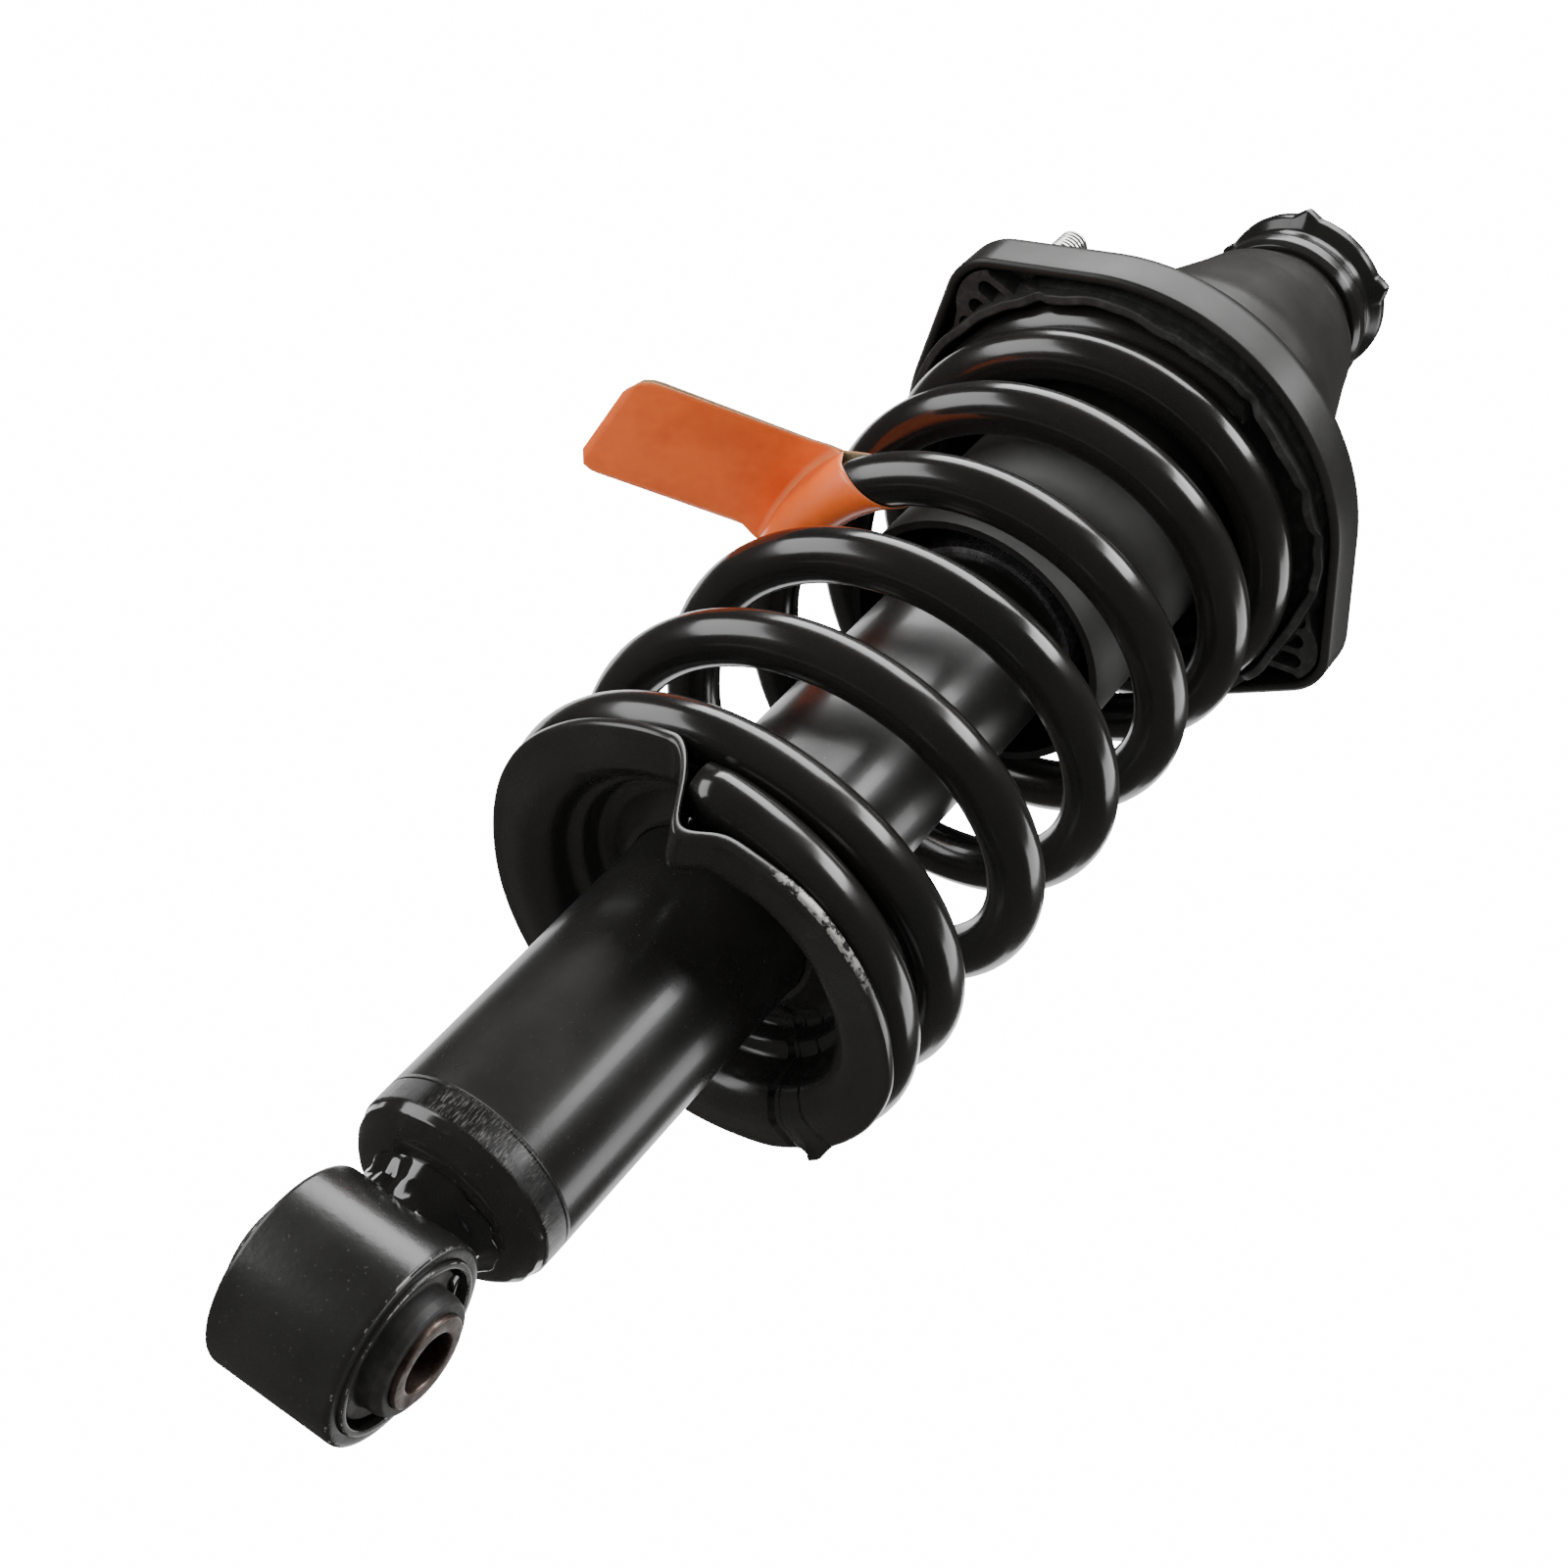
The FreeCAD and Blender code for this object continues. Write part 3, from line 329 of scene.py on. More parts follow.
BARE_STEEL = rgb(0.34, 0.33, 0.31)
DUST = rgb(0.11, 0.105, 0.10)


class Material:
    """Small helper for building a node material."""

    def __init__(self, name):
        self.material = bpy.data.materials.new(name)
        self.material.use_nodes = True
        self.nodes = self.material.node_tree.nodes
        self.links = self.material.node_tree.links
        self.shader = self.nodes["Principled BSDF"]
        self.coords = self.node("ShaderNodeTexCoord").outputs["Object"]

    def node(self, kind, inputs=(), **settings):
        made = self.nodes.new(kind)
        for key, value in settings.items():
            setattr(made, key, value)
        for key, value in dict(inputs).items():
            self.put(made.inputs[key], value)
        return made

    def put(self, socket, value):
        if isinstance(value, bpy.types.NodeSocket):
            self.links.new(value, socket)
        else:
            socket.default_value = value

    def math(self, operation, first, second=0.0):
        return self.node("ShaderNodeMath", {0: first, 1: second}, operation=operation).outputs[0]

    def times(self, first, second):
        return self.math("MULTIPLY", first, second)

    def plus(self, first, second):
        return self.math("ADD", first, second)

    def noise(self, scale, detail=3.0, roughness=0.5, coords=None):
        inputs = {"Vector": coords or self.coords, "Scale": scale, "Detail": detail, "Roughness": roughness}
        return self.node("ShaderNodeTexNoise", inputs).outputs["Fac"]

    def span(self, value, from_low, from_high, to_low=0.0, to_high=1.0):
        inputs = {
            "Value": value, "From Min": from_low, "From Max": from_high, "To Min": to_low, "To Max": to_high,
        }
        return self.node("ShaderNodeMapRange", inputs, interpolation_type="SMOOTHSTEP").outputs["Result"]

    def mix(self, share, first, second):
        """Blend of two colours. The node's colour sockets are inputs 6 and 7 and output 2."""
        inputs = {"Factor": share, 6: first, 7: second}
        return self.node("ShaderNodeMix", inputs, data_type="RGBA").outputs[2]

    def place(self):
        """Sockets X, Y and Z of the point, in metres."""
        return self.node("ShaderNodeSeparateXYZ", {0: self.coords}).outputs

    def distance(self, first, second):
        return self.math("SQRT", self.plus(self.times(first, first), self.times(second, second)))

    def attribute(self, name):
        return self.node("ShaderNodeAttribute", attribute_name=name).outputs["Fac"]

    def specks(self, threshold):
        """Fine specks of dust, more of them under a lower threshold."""
        return self.span(self.noise(1500.0, 1.0, 0.4), threshold, 0.80)

    def bump(self, height, depth, under=None):
        """Normal raised by depth millimetres, on top of an earlier bump where one is given."""
        inputs = {"Height": height, "Distance": depth * MM}
        if under is not None:
            inputs["Normal"] = under
        return self.node("ShaderNodeBump", inputs).outputs["Normal"]

    def finish(self, **inputs):
        for key, value in inputs.items():
            self.put(self.shader.inputs[key.replace("_", " ")], value)
        return self.material


def paint(name, colour, roughness, peel=0.0, coat=0.0, wear=0.0, tint=None, dust=0.0, shine=0.5):
    """Black paint on steel: uneven gloss, orange peel, faint dust and, where asked, bare worn edges."""
    m = Material(name)
    broad = m.noise(26.0, 4.0, 0.6)
    shade = m.mix(m.span(broad, 0.35, 0.75), colour, tint or scaled(colour, 1.5))
    rough = m.span(broad, 0.3, 0.8, roughness * 0.85, roughness * 1.2)
    if dust:
        speck = m.times(m.specks(0.71), dust)
        shade = m.mix(speck, shade, DUST)
        rough = m.plus(rough, m.times(speck, 0.3))
    metal = 0.0
    if wear:
        ragged = m.span(m.noise(420.0, 5.0, 0.7), 0.25, 0.62)
        bare = m.span(m.times(m.attribute("edge"), ragged), 1.0 - wear, 1.08 - wear * 0.6)
        shade = m.mix(bare, shade, BARE_STEEL)
        rough = m.plus(rough, m.times(bare, 0.22))
        metal = m.times(bare, 0.6)
    normal = m.bump(m.noise(90.0, 2.0), 0.02)
    if peel:
        normal = m.bump(m.noise(700.0, 2.0), peel, under=normal)
    m.finish(Base_Color=shade, Roughness=rough, Metallic=metal, Normal=normal, Specular_IOR_Level=shine)
    return m.finish(Coat_Weight=coat, Coat_Roughness=0.10)


def reservoir_paint():
    """Satin paint, glossier on the base cap, with a streaked and scraped band above the cap."""
    m = Material("reservoir_paint")
    place = m.place()
    angle, height = m.math("ARCTAN2", place["Y"], place["X"]), place["Z"]
    broad = m.noise(30.0, 4.0, 0.6)
    across = {0: m.times(angle, 9.0), 1: 0.0, 2: m.times(height, 40.0)}
    streaks = m.noise(9.0, 4.0, 0.75, coords=m.node("ShaderNodeCombineXYZ", across).outputs[0])
    patches = m.span(m.noise(70.0, 3.0), 0.42, 0.56)
    ragged = m.plus(height, m.times(m.math("SUBTRACT", streaks, 0.5), 1.2 * MM))

    def fade(level, edge):
        return m.span(level, edge[0] * MM, edge[1] * MM)

    band = m.times(fade(ragged, BAND_LOW), fade(height, BAND_TOP))
    shade = m.mix(m.span(broad, 0.35, 0.75), rgb(0.0095, 0.0092, 0.0085), rgb(0.0150, 0.0145, 0.0135))
    shade = m.mix(m.times(m.specks(0.70), 0.30), shade, DUST)
    scraped = m.times(m.times(band, patches), m.span(streaks, 0.52, 0.60))
    shade = m.mix(m.times(scraped, 0.85), shade, rgb(0.24, 0.235, 0.22))
    gloss = m.math("MAXIMUM", m.times(band, 0.7), fade(ragged, CAP_GLOSS))
    rough = m.math("SUBTRACT", m.span(broad, 0.3, 0.8, 0.26, 0.33), m.times(gloss, 0.16))
    normal = m.bump(m.noise(900.0, 2.0), 0.008)
    normal = m.bump(m.times(band, streaks), 1.3, under=normal)
    return m.finish(Base_Color=shade, Roughness=rough, Normal=normal, Coat_Weight=0.15, Coat_Roughness=0.10)


def bush_face():
    """Moulded rubber, grey on the bush's end faces and blacker on the boss."""
    m = Material("bush_face")
    place = m.place()
    face = m.span(m.distance(place["X"], place["Z"]), (BOSS_R + 0.1) * MM, (BOSS_R + 0.7) * MM)
    mottle = m.noise(240.0, 5.0, 0.7)
    spots = m.span(mottle, 0.4, 0.7)
    grey = m.mix(spots, rgb(0.060, 0.058, 0.054), rgb(0.040, 0.039, 0.036))
    dark = m.mix(spots, rgb(0.012, 0.0115, 0.011), rgb(0.020, 0.0185, 0.0175))
    shade = m.mix(face, dark, grey)
    rough = m.span(mottle, 0.3, 0.8, 0.45, 0.62)
    normal = m.bump(m.noise(620.0, 4.0, 0.6), 0.05)
    return m.finish(Base_Color=shade, Roughness=rough, Normal=normal, Specular_IOR_Level=0.42)


def rubber(name, colour, grain, depth, bloom=0.35):
    """Moulded or foamed rubber with a fine grain and a patchy pale bloom."""
    m = Material(name)
    pale = m.span(m.noise(240.0, 5.0, 0.7), 0.45, 0.75)
    shade = m.mix(m.times(pale, bloom), colour, scaled(colour, 2.4, 0.012))
    rough = m.span(m.noise(90.0, 4.0, 0.6), 0.3, 0.8, 0.52, 0.74)
    normal = m.bump(m.noise(grain, 4.0, 0.6), depth)
    return m.finish(Base_Color=shade, Roughness=rough, Normal=normal, Specular_IOR_Level=0.42)


def steel(name, colour, roughness, tarnish=None):
    """Bare or plated steel with fine turning marks and a patchy tarnish."""
    m = Material(name)
    patches = m.noise(160.0, 5.0, 0.65)
    shade = m.mix(m.span(patches, 0.42, 0.70), colour, tarnish or scaled(colour, 0.55))
    rough = m.span(patches, 0.3, 0.8, roughness * 0.75, roughness * 1.5)
    normal = m.bump(m.noise(1400.0, 2.0, 0.6), 0.03)
    return m.finish(Base_Color=shade, Roughness=rough, Normal=normal, Metallic=0.92)


def plastic(name, colour, roughness):
    m = Material(name)
    broad = m.noise(55.0, 3.0, 0.6)
    shade = m.mix(m.span(broad, 0.35, 0.75), colour, scaled(colour, 1.7))
    rough = m.span(broad, 0.3, 0.8, roughness * 0.88, roughness * 1.15)
    normal = m.bump(m.noise(1500.0, 2.0), 0.02)
    return m.finish(Base_Color=shade, Roughness=rough, Normal=normal, Specular_IOR_Level=0.28)


def tag_paper():
    """Coated orange paper, a little mottled and buckled, with paler edges and a tan inner face."""
    m = Material("tag_paper")
    fibres = m.noise(700.0, 6.0, 0.7)
    mottle = m.noise(60.0, 4.0, 0.6)
    orange = m.mix(m.span(mottle, 0.35, 0.70), rgb(0.84, 0.135, 0.016), rgb(0.70, 0.098, 0.012))
    backing = m.mix(m.span(fibres, 0.4, 0.6), rgb(0.42, 0.33, 0.20), rgb(0.34, 0.26, 0.16))
    shade = m.mix(m.attribute("inner"), orange, backing)
    shade = m.mix(m.times(m.attribute("edge"), 0.30), shade, rgb(0.76, 0.33, 0.12))
    rough = m.span(fibres, 0.3, 0.7, 0.30, 0.42)
    normal = m.bump(fibres, 0.02)
    normal = m.bump(m.noise(45.0, 3.0), 0.7, under=normal)
    return m.finish(Base_Color=shade, Roughness=rough, Normal=normal, Coat_Weight=0.25, Coat_Roughness=0.18)


# Mesh making


def make_object(name, points, faces, material, body, replaces=(), slot=None, marks=None, smooth_faces=True):
    """Mesh piece from points in millimetres. marks maps attribute names to one value per point."""
    mesh = bpy.data.meshes.new(name)
    mesh.from_pydata([tuple(point * MM) for point in points], [], faces)
    mesh.update()
    for key, values in (marks or {}).items():
        layer = mesh.attributes.new(key, "FLOAT", "POINT")
        layer.data.foreach_set("value", np.array(values, np.float32))
    mesh.polygons.foreach_set("use_smooth", [smooth_faces] * len(mesh.polygons))
    mesh.materials.append(material)
    piece = link(name, mesh)
    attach(piece, body)
    if replaces:
        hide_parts(*replaces)
    return piece


def fix_normals(piece):
    work = bmesh.new()
    work.from_mesh(piece.data)
    bmesh.ops.recalc_face_normals(work, faces=work.faces)
    work.to_mesh(piece.data)
    work.free()


def apply_modifier(piece, kind, **settings):
    modifier = piece.modifiers.new(kind.lower(), kind)
    for key, value in settings.items():
        setattr(modifier, key, value)
    bpy.context.view_layer.objects.active = piece
    bpy.ops.object.modifier_apply(modifier=modifier.name)


def ring_faces(rings, count, base=0, closed=False, flip=False):
    """Quads between neighbouring rings of count points each. closed also joins the last ring to the first."""
    faces = []
    for ring in range(rings if closed else rings - 1):
        first, second = base + ring * count, base + (ring + 1) % rings * count
        for side in range(count):
            after = (side + 1) % count
            face = (first + side, first + after, second + after, second + side)
            faces.append(face[::-1] if flip else face)
    return faces


def prism(outline, bottom, top, base=0):
    """Points and faces of an upright prism, with its faces numbered from base."""
    points = [Vector((spot.x, spot.y, height)) for height in (bottom, top) for spot in outline]
    count = len(outline)
    ends = [tuple(range(base, base + count))[::-1], tuple(range(base + count, base + 2 * count))]
    return points, ends + ring_faces(2, count, base)


def rounded(corners, steps=5):
    """Closed outline from (radius, height, fillet) corners. Returns its points and an edge mark for each."""
    outline, marks = [], []
    count = len(corners)
    for index, (radius, height, fillet) in enumerate(corners):
        here = Vector((radius, height))
        if not fillet:
            outline.append(here)
            marks.append(1.0)
            continue
        before = Vector(corners[index - 1][:2]) - here
        after = Vector(corners[(index + 1) % count][:2]) - here
        angle = before.angle(after, math.pi)
        if angle > math.pi - 0.02:
            outline.append(here)
            marks.append(0.0)
            continue
        reach = min(fillet / math.tan(angle / 2), before.length * 0.48, after.length * 0.48)
        start, end = here + before.normalized() * reach, here + after.normalized() * reach
        for step in range(steps + 1):
            share = step / steps
            outline.append(start.lerp(here, share).lerp(here.lerp(end, share), share))
            marks.append(1.0 - abs(2 * share - 1) ** 2 * 0.8)
    return outline, marks


def lathe(name, corners, material, body, segments=128, along_y=False, steps=5, change=None, **more):
    """Closed ring turned from a rounded outline; change(point, angle) may move each point.

    along_y turns it about Y, which mirrors it, so its faces are made the other way round.
    """
    outline, marks = rounded(corners, steps)
    points = []
    for segment in range(segments):
        angle = 360 * segment / segments
        for point in outline:
            place = polar(point.x, angle, point.y)
            if change:
                place = change(place, angle)
            points.append(Vector((place.x, place.z, place.y)) if along_y else place)
    faces = ring_faces(segments, len(outline), closed=True, flip=not along_y)
    piece = make_object(name, points, faces, material, body, marks={"edge": marks * segments}, **more)
    fix_normals(piece)
    return piece


# Lower eye and its bush


def tube_section(outer, inner, half_length, outer_fillet, inner_fillet):
    """Corners of a plain tube that is centred on the eye."""
    return [
        (outer, -half_length, outer_fillet), (outer, half_length, outer_fillet),
        (inner, half_length, inner_fillet), (inner, -half_length, inner_fillet),
    ]


def lower_eye(eye_paint, shell_paint, rubber_face, sleeve_steel):
    """Eye barrel, with the bush's shell, its rubber and its inner sleeve."""
    shell_in = SHELL_R - SHELL_WALL
    face, groove = SHELL_HALF - BUSH_FACE_DEPTH, shell_in - BUSH_GROOVE_WIDTH
    half = [
        (SLEEVE_R + FIT_GAP, BOSS_HALF, 0.3), (BOSS_R - 0.7, BOSS_HALF, 0.9),
        (BOSS_R - 0.1, BOSS_HALF - 2.0, 1.0), (BOSS_R + 0.1, face, 0.7),
        (groove, face + 0.2, 0.5), (groove + 0.3, face - BUSH_GROOVE_DEPTH, 0.5),
        (shell_in - FIT_GAP, face - BUSH_GROOVE_DEPTH, 0.3),
    ]
    lathe("eye_barrel", tube_section(EYE_R, SHELL_R, EYE_HALF, 1.3, 0.5),
          eye_paint, "damper", along_y=True, replaces=("eye_ring",), slot="black_coat")
    lathe("bush_shell_ring", tube_section(SHELL_R - FIT_GAP, shell_in, SHELL_HALF, 0.4, 0.4),
          shell_paint, "damper", along_y=True, replaces=("bush_shell",), slot="black_coat")
    lathe("bush_rubber_body", half + [(radius, -height, fillet) for radius, height, fillet in half[::-1]],
          rubber_face, "damper", along_y=True, replaces=("bush_rubber",), slot="rubber_black")
    lathe("inner_sleeve", tube_section(SLEEVE_R, BOLT_R, SLEEVE_HALF, 0.6, 0.7),
          sleeve_steel, "lower_sleeve", along_y=True, replaces=("bush_sleeve",), slot="brown_steel")


# Reservoir


def weld_neck(material):
    """Lumpy weld between the eye and the base cap."""
    corners = [
        (14.6, 12.5, 1.0), (13.4, 17.0, 3.0), (13.2, 21.0, 2.5),
        (15.2, 25.6, 1.5), (9.0, 25.6, 0.2), (9.0, 17.0, 0.2),
    ]

    def lumps(place, angle):
        lump = noise.noise(place * 0.10) * 2.0 + noise.noise(place * 0.24) * 1.1
        return place + polar(lump, angle) if from_axis(place) > 10 else place

    lathe("neck_weld", corners, material, "damper", steps=8, change=lumps,
          replaces=("weld_neck",), slot="black_coat")


def reservoir(material):
    """Tube of the reservoir and the cap that closes its lower end."""
    inside, foot = TUBE_R - TUBE_WALL, TUBE_LOW + FIT_GAP
    tube = [(TUBE_R, foot, 0.3), (TUBE_R, TUBE_TOP, 0.6), (inside, TUBE_TOP, 0.3), (inside, foot, 0.3)]
    lathe("reservoir_shell", tube, material, "damper", 160, replaces=("reservoir_tube",), slot="black_coat")
    cap = [
        (TUBE_R, TUBE_LOW, 0.4), (TUBE_R - 0.05, 31.0, 0.5), (TUBE_R - 0.5, 30.2, 0.8),
        (TUBE_R - 0.9, 28.6, 1.5), (TUBE_R - 3.6, 25.4, 4.5), (13.0, 24.2, 1.5), (8.0, 24.2, 0.5),
        (8.0, 26.4, 0.5), (TUBE_R - 4.8, 27.6, 3.0), (TUBE_R - 2.6, 33.0, 1.0), (TUBE_R - 2.2, TUBE_LOW, 0.3),
    ]

    def lumps(place, angle):
        share = smooth(place.z, 31.5, 29.5) * smooth(from_axis(place), 12, 16)
        lump = noise.noise(place * 0.13) * 0.5 + noise.noise(place * 0.5) * 0.08
        return place + polar(lump * share, angle)

    lathe("base_cap_shell", cap, material, "damper", 160, steps=10, change=lumps,
          replaces=("base_cap",), slot="black_coat")


# Spring


def ease(turn, middle):
    share = min(1.0, max(0.0, (turn - middle) / PITCH_EASE + 0.5))
    return share * share * (3 - 2 * share)


def openness(turn):
    """Share of the full extra pitch that the coils have at a turn: none in the closed end coils."""
    tighter = (1 - UPPER_COIL_SHARE) * ease(turn, UPPER_EASE_TURN)
    return ease(turn, LIFT_TURN) - tighter - UPPER_COIL_SHARE * ease(turn, UPPER_CLOSE_TURN)


def spring_line():
    """(turn, height) of the wire's centre, as the CAD spring has it."""
    turns = SPRING_END[0] - SPRING_START[0]
    count = round(turns * STEPS_PER_TURN)
    step = turns / count
    middles = [SPRING_START[0] + (index + 0.5) * step for index in range(count)]
    spare = SPRING_END[1] - SPRING_START[1] - CLOSED_PITCH * turns
    lift = spare / sum(openness(turn) * step for turn in middles)
    line = [SPRING_START]
    for turn in middles:
        line.append((turn + step / 2, line[-1][1] + (CLOSED_PITCH + lift * openness(turn)) * step))
    return line


SPRING_LINE = spring_line()
SPRING_TURNS, SPRING_HEIGHTS = zip(*SPRING_LINE)


def spring_height(turn):
    return float(np.interp(turn, SPRING_TURNS, SPRING_HEIGHTS))


def spring_slope(turn, step=0.004):
    """Climb of the wire for each unit of its way round."""
    return (spring_height(turn + step) - spring_height(turn - step)) / (2 * step) / (2 * math.pi * SPRING_R)


def along_spring(turn):
    """Direction of the wire at a turn."""
    return (polar(1.0, 360 * turn + 90) + Vector((0, 0, spring_slope(turn)))).normalized()


def wire_piece(name, first, last, material, body, **more):
    """Length of the spring's wire between two turns, bevelled and a little ragged where the wire was cut."""
    rows = [row for row in SPRING_LINE if first + 0.002 < row[0] < last - 0.002]
    line = [(first, spring_height(first)), *rows, (last, spring_height(last))]
    cuts = {0: first == WIRE_CUT_TURN, len(line) - 1: last == SPRING_END[0]}
    points, edge = [], []
    for index, (turn, height) in enumerate(line):
        cut = cuts.get(index, False)
        outward = polar(1.0, 360 * turn)
        up = outward.cross(along_spring(turn))
        up = up if up.z > 0 else -up
        centre = polar(SPRING_R, 360 * turn, height)
        for side in range(WIRE_SIDES):
            angle = 2 * math.pi * side / WIRE_SIDES
            reach = (outward * math.cos(angle) + up * math.sin(angle)) * WIRE_R
            points.append(centre + reach * (WIRE_CUT_SHARE if cut else 1.0))
        edge += [float(cut)] * WIRE_SIDES
    faces = ring_faces(len(line), WIRE_SIDES)
    for index, cut in cuts.items():
        base, hub = index * WIRE_SIDES, len(points)
        centre = sum((points[base + side] for side in range(WIRE_SIDES)), Vector()) / WIRE_SIDES
        for side in range(WIRE_SIDES):
            spoke = points[base + side].lerp(centre, 0.3)
            points.append(spoke + noise.noise_vector(spoke * 0.6) * 0.5 if cut else spoke)
        points.append(centre)
        edge += [float(cut)] * (WIRE_SIDES + 1)
        for side in range(WIRE_SIDES):
            after = (side + 1) % WIRE_SIDES
            quad = (base + side, hub + side, hub + after, base + after)
            tri = (hub + side, hub + WIRE_SIDES, hub + after)
            faces += [quad[::-1], tri[::-1]] if index else [quad, tri]
    piece = make_object(name, points, faces, material, body, marks={"edge": edge}, **more)
    fix_normals(piece)
    return piece


# Lower seat


def seat_shelf(turn):
    """Height of the shelf's top: it climbs with the wire and falls in an S to a hook below its cut end."""
    base = SPRING_START[1] - WIRE_R - 0.3
    along = (turn - STEP_TURN + 0.5) % 1.0 - 0.5
    hook = 5.8 * hump(along, 0.024, 0.016) + 1.6 * hump(along, 0.055, 0.03)
    if abs(along) >= STEP_HALF:
        return base + CLOSED_PITCH * (along % 1.0) - hook
    share = smooth(along, -STEP_HALF, STEP_HALF)
    top = base + CLOSED_PITCH * (1 - STEP_HALF)
    bottom = base + CLOSED_PITCH * STEP_HALF
    return top + (bottom - top) * share - hook


def seat_rim(degrees):
    """(radius, drop) of the rim: a little out of round, with a pointed crease at one place."""
    point = max(0.0, 1 - abs(apart(degrees, CREASE)) / 6.5) ** 1.4
    late = max(0.0, 1 - abs(apart(degrees, CREASE + 7.5)) / 8.0)
    wave = 0.5 * math.sin(math.radians(3 * degrees + 40)) + 0.3 * math.sin(math.radians(7 * degrees))
    round_off = 0.6 * math.cos(math.radians(degrees - 286)) + 1.3 * hump(apart(degrees, 140), 0, 45)
    return SEAT_RIM_R + round_off + wave * 0.5 + 1.6 * point, 3.0 * point - 0.8 * late


def seat_profile(degrees):
    """Closed section of the seat at an angle, as (radius, height, fillet) corners."""
    shelf = seat_shelf(degrees / 360.0)
    rim, drop = seat_rim(degrees)
    sheet, wall, dome = SEAT_SHEET, SEAT_WALL_R, SEAT_DOME_Z
    step, hub = dome + SEAT_STEP_RISE, TUBE_R + SEAT_FIT_GAP
    lip = shelf - sheet
    return [
        (rim, shelf - drop * 0.9, 1.3),
        (rim - 4.0, shelf - drop * 0.2, 2.0),
        (wall + 0.2, shelf + 0.2, 2.6),
        (wall - 0.6, max(shelf + 1.0, dome + 1.5), 1.0),
        (wall - 2.2, dome + sheet, 2.0),
        (SEAT_STEP_R + sheet, dome + sheet, 2.0),
        (SEAT_STEP_R, step + sheet, 1.6),
        (SEAT_HUB_R + sheet, step + sheet, 2.0),
        (TUBE_R + sheet, SEAT_HUB_TOP, 1.2),
        (hub, SEAT_HUB_TOP, 0.4),
        (hub, step - 4, 0.4),
        (TUBE_R + 1.6, step - 4, 0.6),
        (SEAT_HUB_R, step, 1.5),
        (SEAT_STEP_R - 1.5, step, 2.0),
        (SEAT_STEP_R - 0.5, dome, 2.0),
        (wall - sheet - 1.0, dome - 1.0, 4.0),
        (wall - sheet + 0.2, lip + 3.0, 6.0),
        (wall + 2.4, lip - 0.8, 5.0),
        (rim - 3.0, lip - drop * 0.3, 3.0),
        (rim, lip - drop, 1.3),
    ]


def seat_angles():
    """Angles of the seat's sections, closer together at the step and the crease."""
    angles, degrees = [], 0.0
    while degrees < 360.0 - 1e-6:
        angles.append(degrees)
        near_step = abs(apart(degrees, 360 * STEP_TURN + 3)) < 16
        near_crease = abs(apart(degrees, CREASE + 0.5)) < 10
        degrees += 0.5 if near_step or near_crease else 2.0
    return angles


def lower_seat(material):
    """Pressed dish under the spring, dented a little, slit at its crease and worn along its rim."""
    angles = seat_angles()
    points, edge = [], []
    for degrees in angles:
        outline = rounded(seat_profile(degrees), 6)[0]
        rim = seat_rim(degrees)[0]
        worn = hump(apart(degrees, WORN), 0, 16)
        slit = 1.3 * hump(apart(degrees, CREASE), 0, 0.7)
        for point in outline:
            place = polar(point.x, degrees, point.y)
            if point.x > 26:
                lumps = noise.noise(place * 0.10) * 0.16 - slit * smooth(point.x, rim - 7, rim - 2)
                place = place + polar(lumps, degrees, lumps * 0.4)
            points.append(place)
            edge.append(smooth(point.x, rim - 1.0, rim - 0.1) * (0.42 + 0.58 * worn))
    faces = ring_faces(len(angles), len(points) // len(angles), closed=True)
    seat = make_object("spring_seat", points, faces, material, "damper",
                       ("lower_spring_seat",), "black_coat", {"edge": edge})
    fix_normals(seat)


# Tag


def tag_path():
    """The strip from one tip round the wire to the other, seen along the wire, and its flat length.

    Each row is (place, share by which it stays straight instead of following the coil, shift along the wire).
    """
    gap = WIRE_R + TAG_GAP
    reach = TAG_FOLD.length
    half = math.acos(gap / reach)
    middle = math.atan2(TAG_FOLD.y, TAG_FOLD.x)
    start, end = middle + half, middle - half + 2 * math.pi
    out = Vector((math.cos(TAG_DROOP), -math.sin(TAG_DROOP)))
    shares = [step / FLAG_STEPS for step in range(FLAG_STEPS + 1)]
    flag = [TAG_FOLD + out * TAG_LENGTH * share for share in shares]
    legs = [step / LEG_STEPS for step in range(1, LEG_STEPS)]

    def round_wire(angle):
        return Vector((math.cos(angle), math.sin(angle))) * gap

    def ply(shift, spread):
        """One ply of the flag, from the fold to its tip."""
        rise = [Vector((0, shift + spread * share)) for share in shares]
        return [(place + up, smooth(share, 0.0, 0.1), 0.0) for place, up, share in zip(flag, rise, shares)]

    path = ply(TAG_PLY_GAP, 0.5)[::-1]
    path += [(TAG_FOLD.lerp(round_wire(start), leg), 0.0, TAG_SKEW * leg) for leg in legs]
    for step in range(LOOP_STEPS + 1):
        rise = (TAG_SKEW_PEAK - TAG_SKEW) * smooth(step, 0, LOOP_PEAK_STEP)
        late = max(0.0, step - LOOP_PEAK_STEP) / (LOOP_STEPS - LOOP_PEAK_STEP)
        skew = TAG_SKEW + rise - (TAG_SKEW_PEAK - TAG_SKEW_END) * late
        path.append((round_wire(start + (end - start) * step / LOOP_STEPS), 0.0, skew))
    path += [(round_wire(end).lerp(TAG_FOLD, leg), 0.0, TAG_SKEW_END * (1 - leg)) for leg in legs]
    path += ply(-TAG_PLY_GAP, -0.3)
    slant = math.hypot(math.sqrt(reach**2 - gap**2), TAG_SKEW)
    return path, (end - start) * gap + 2 * slant + 2 * TAG_LENGTH


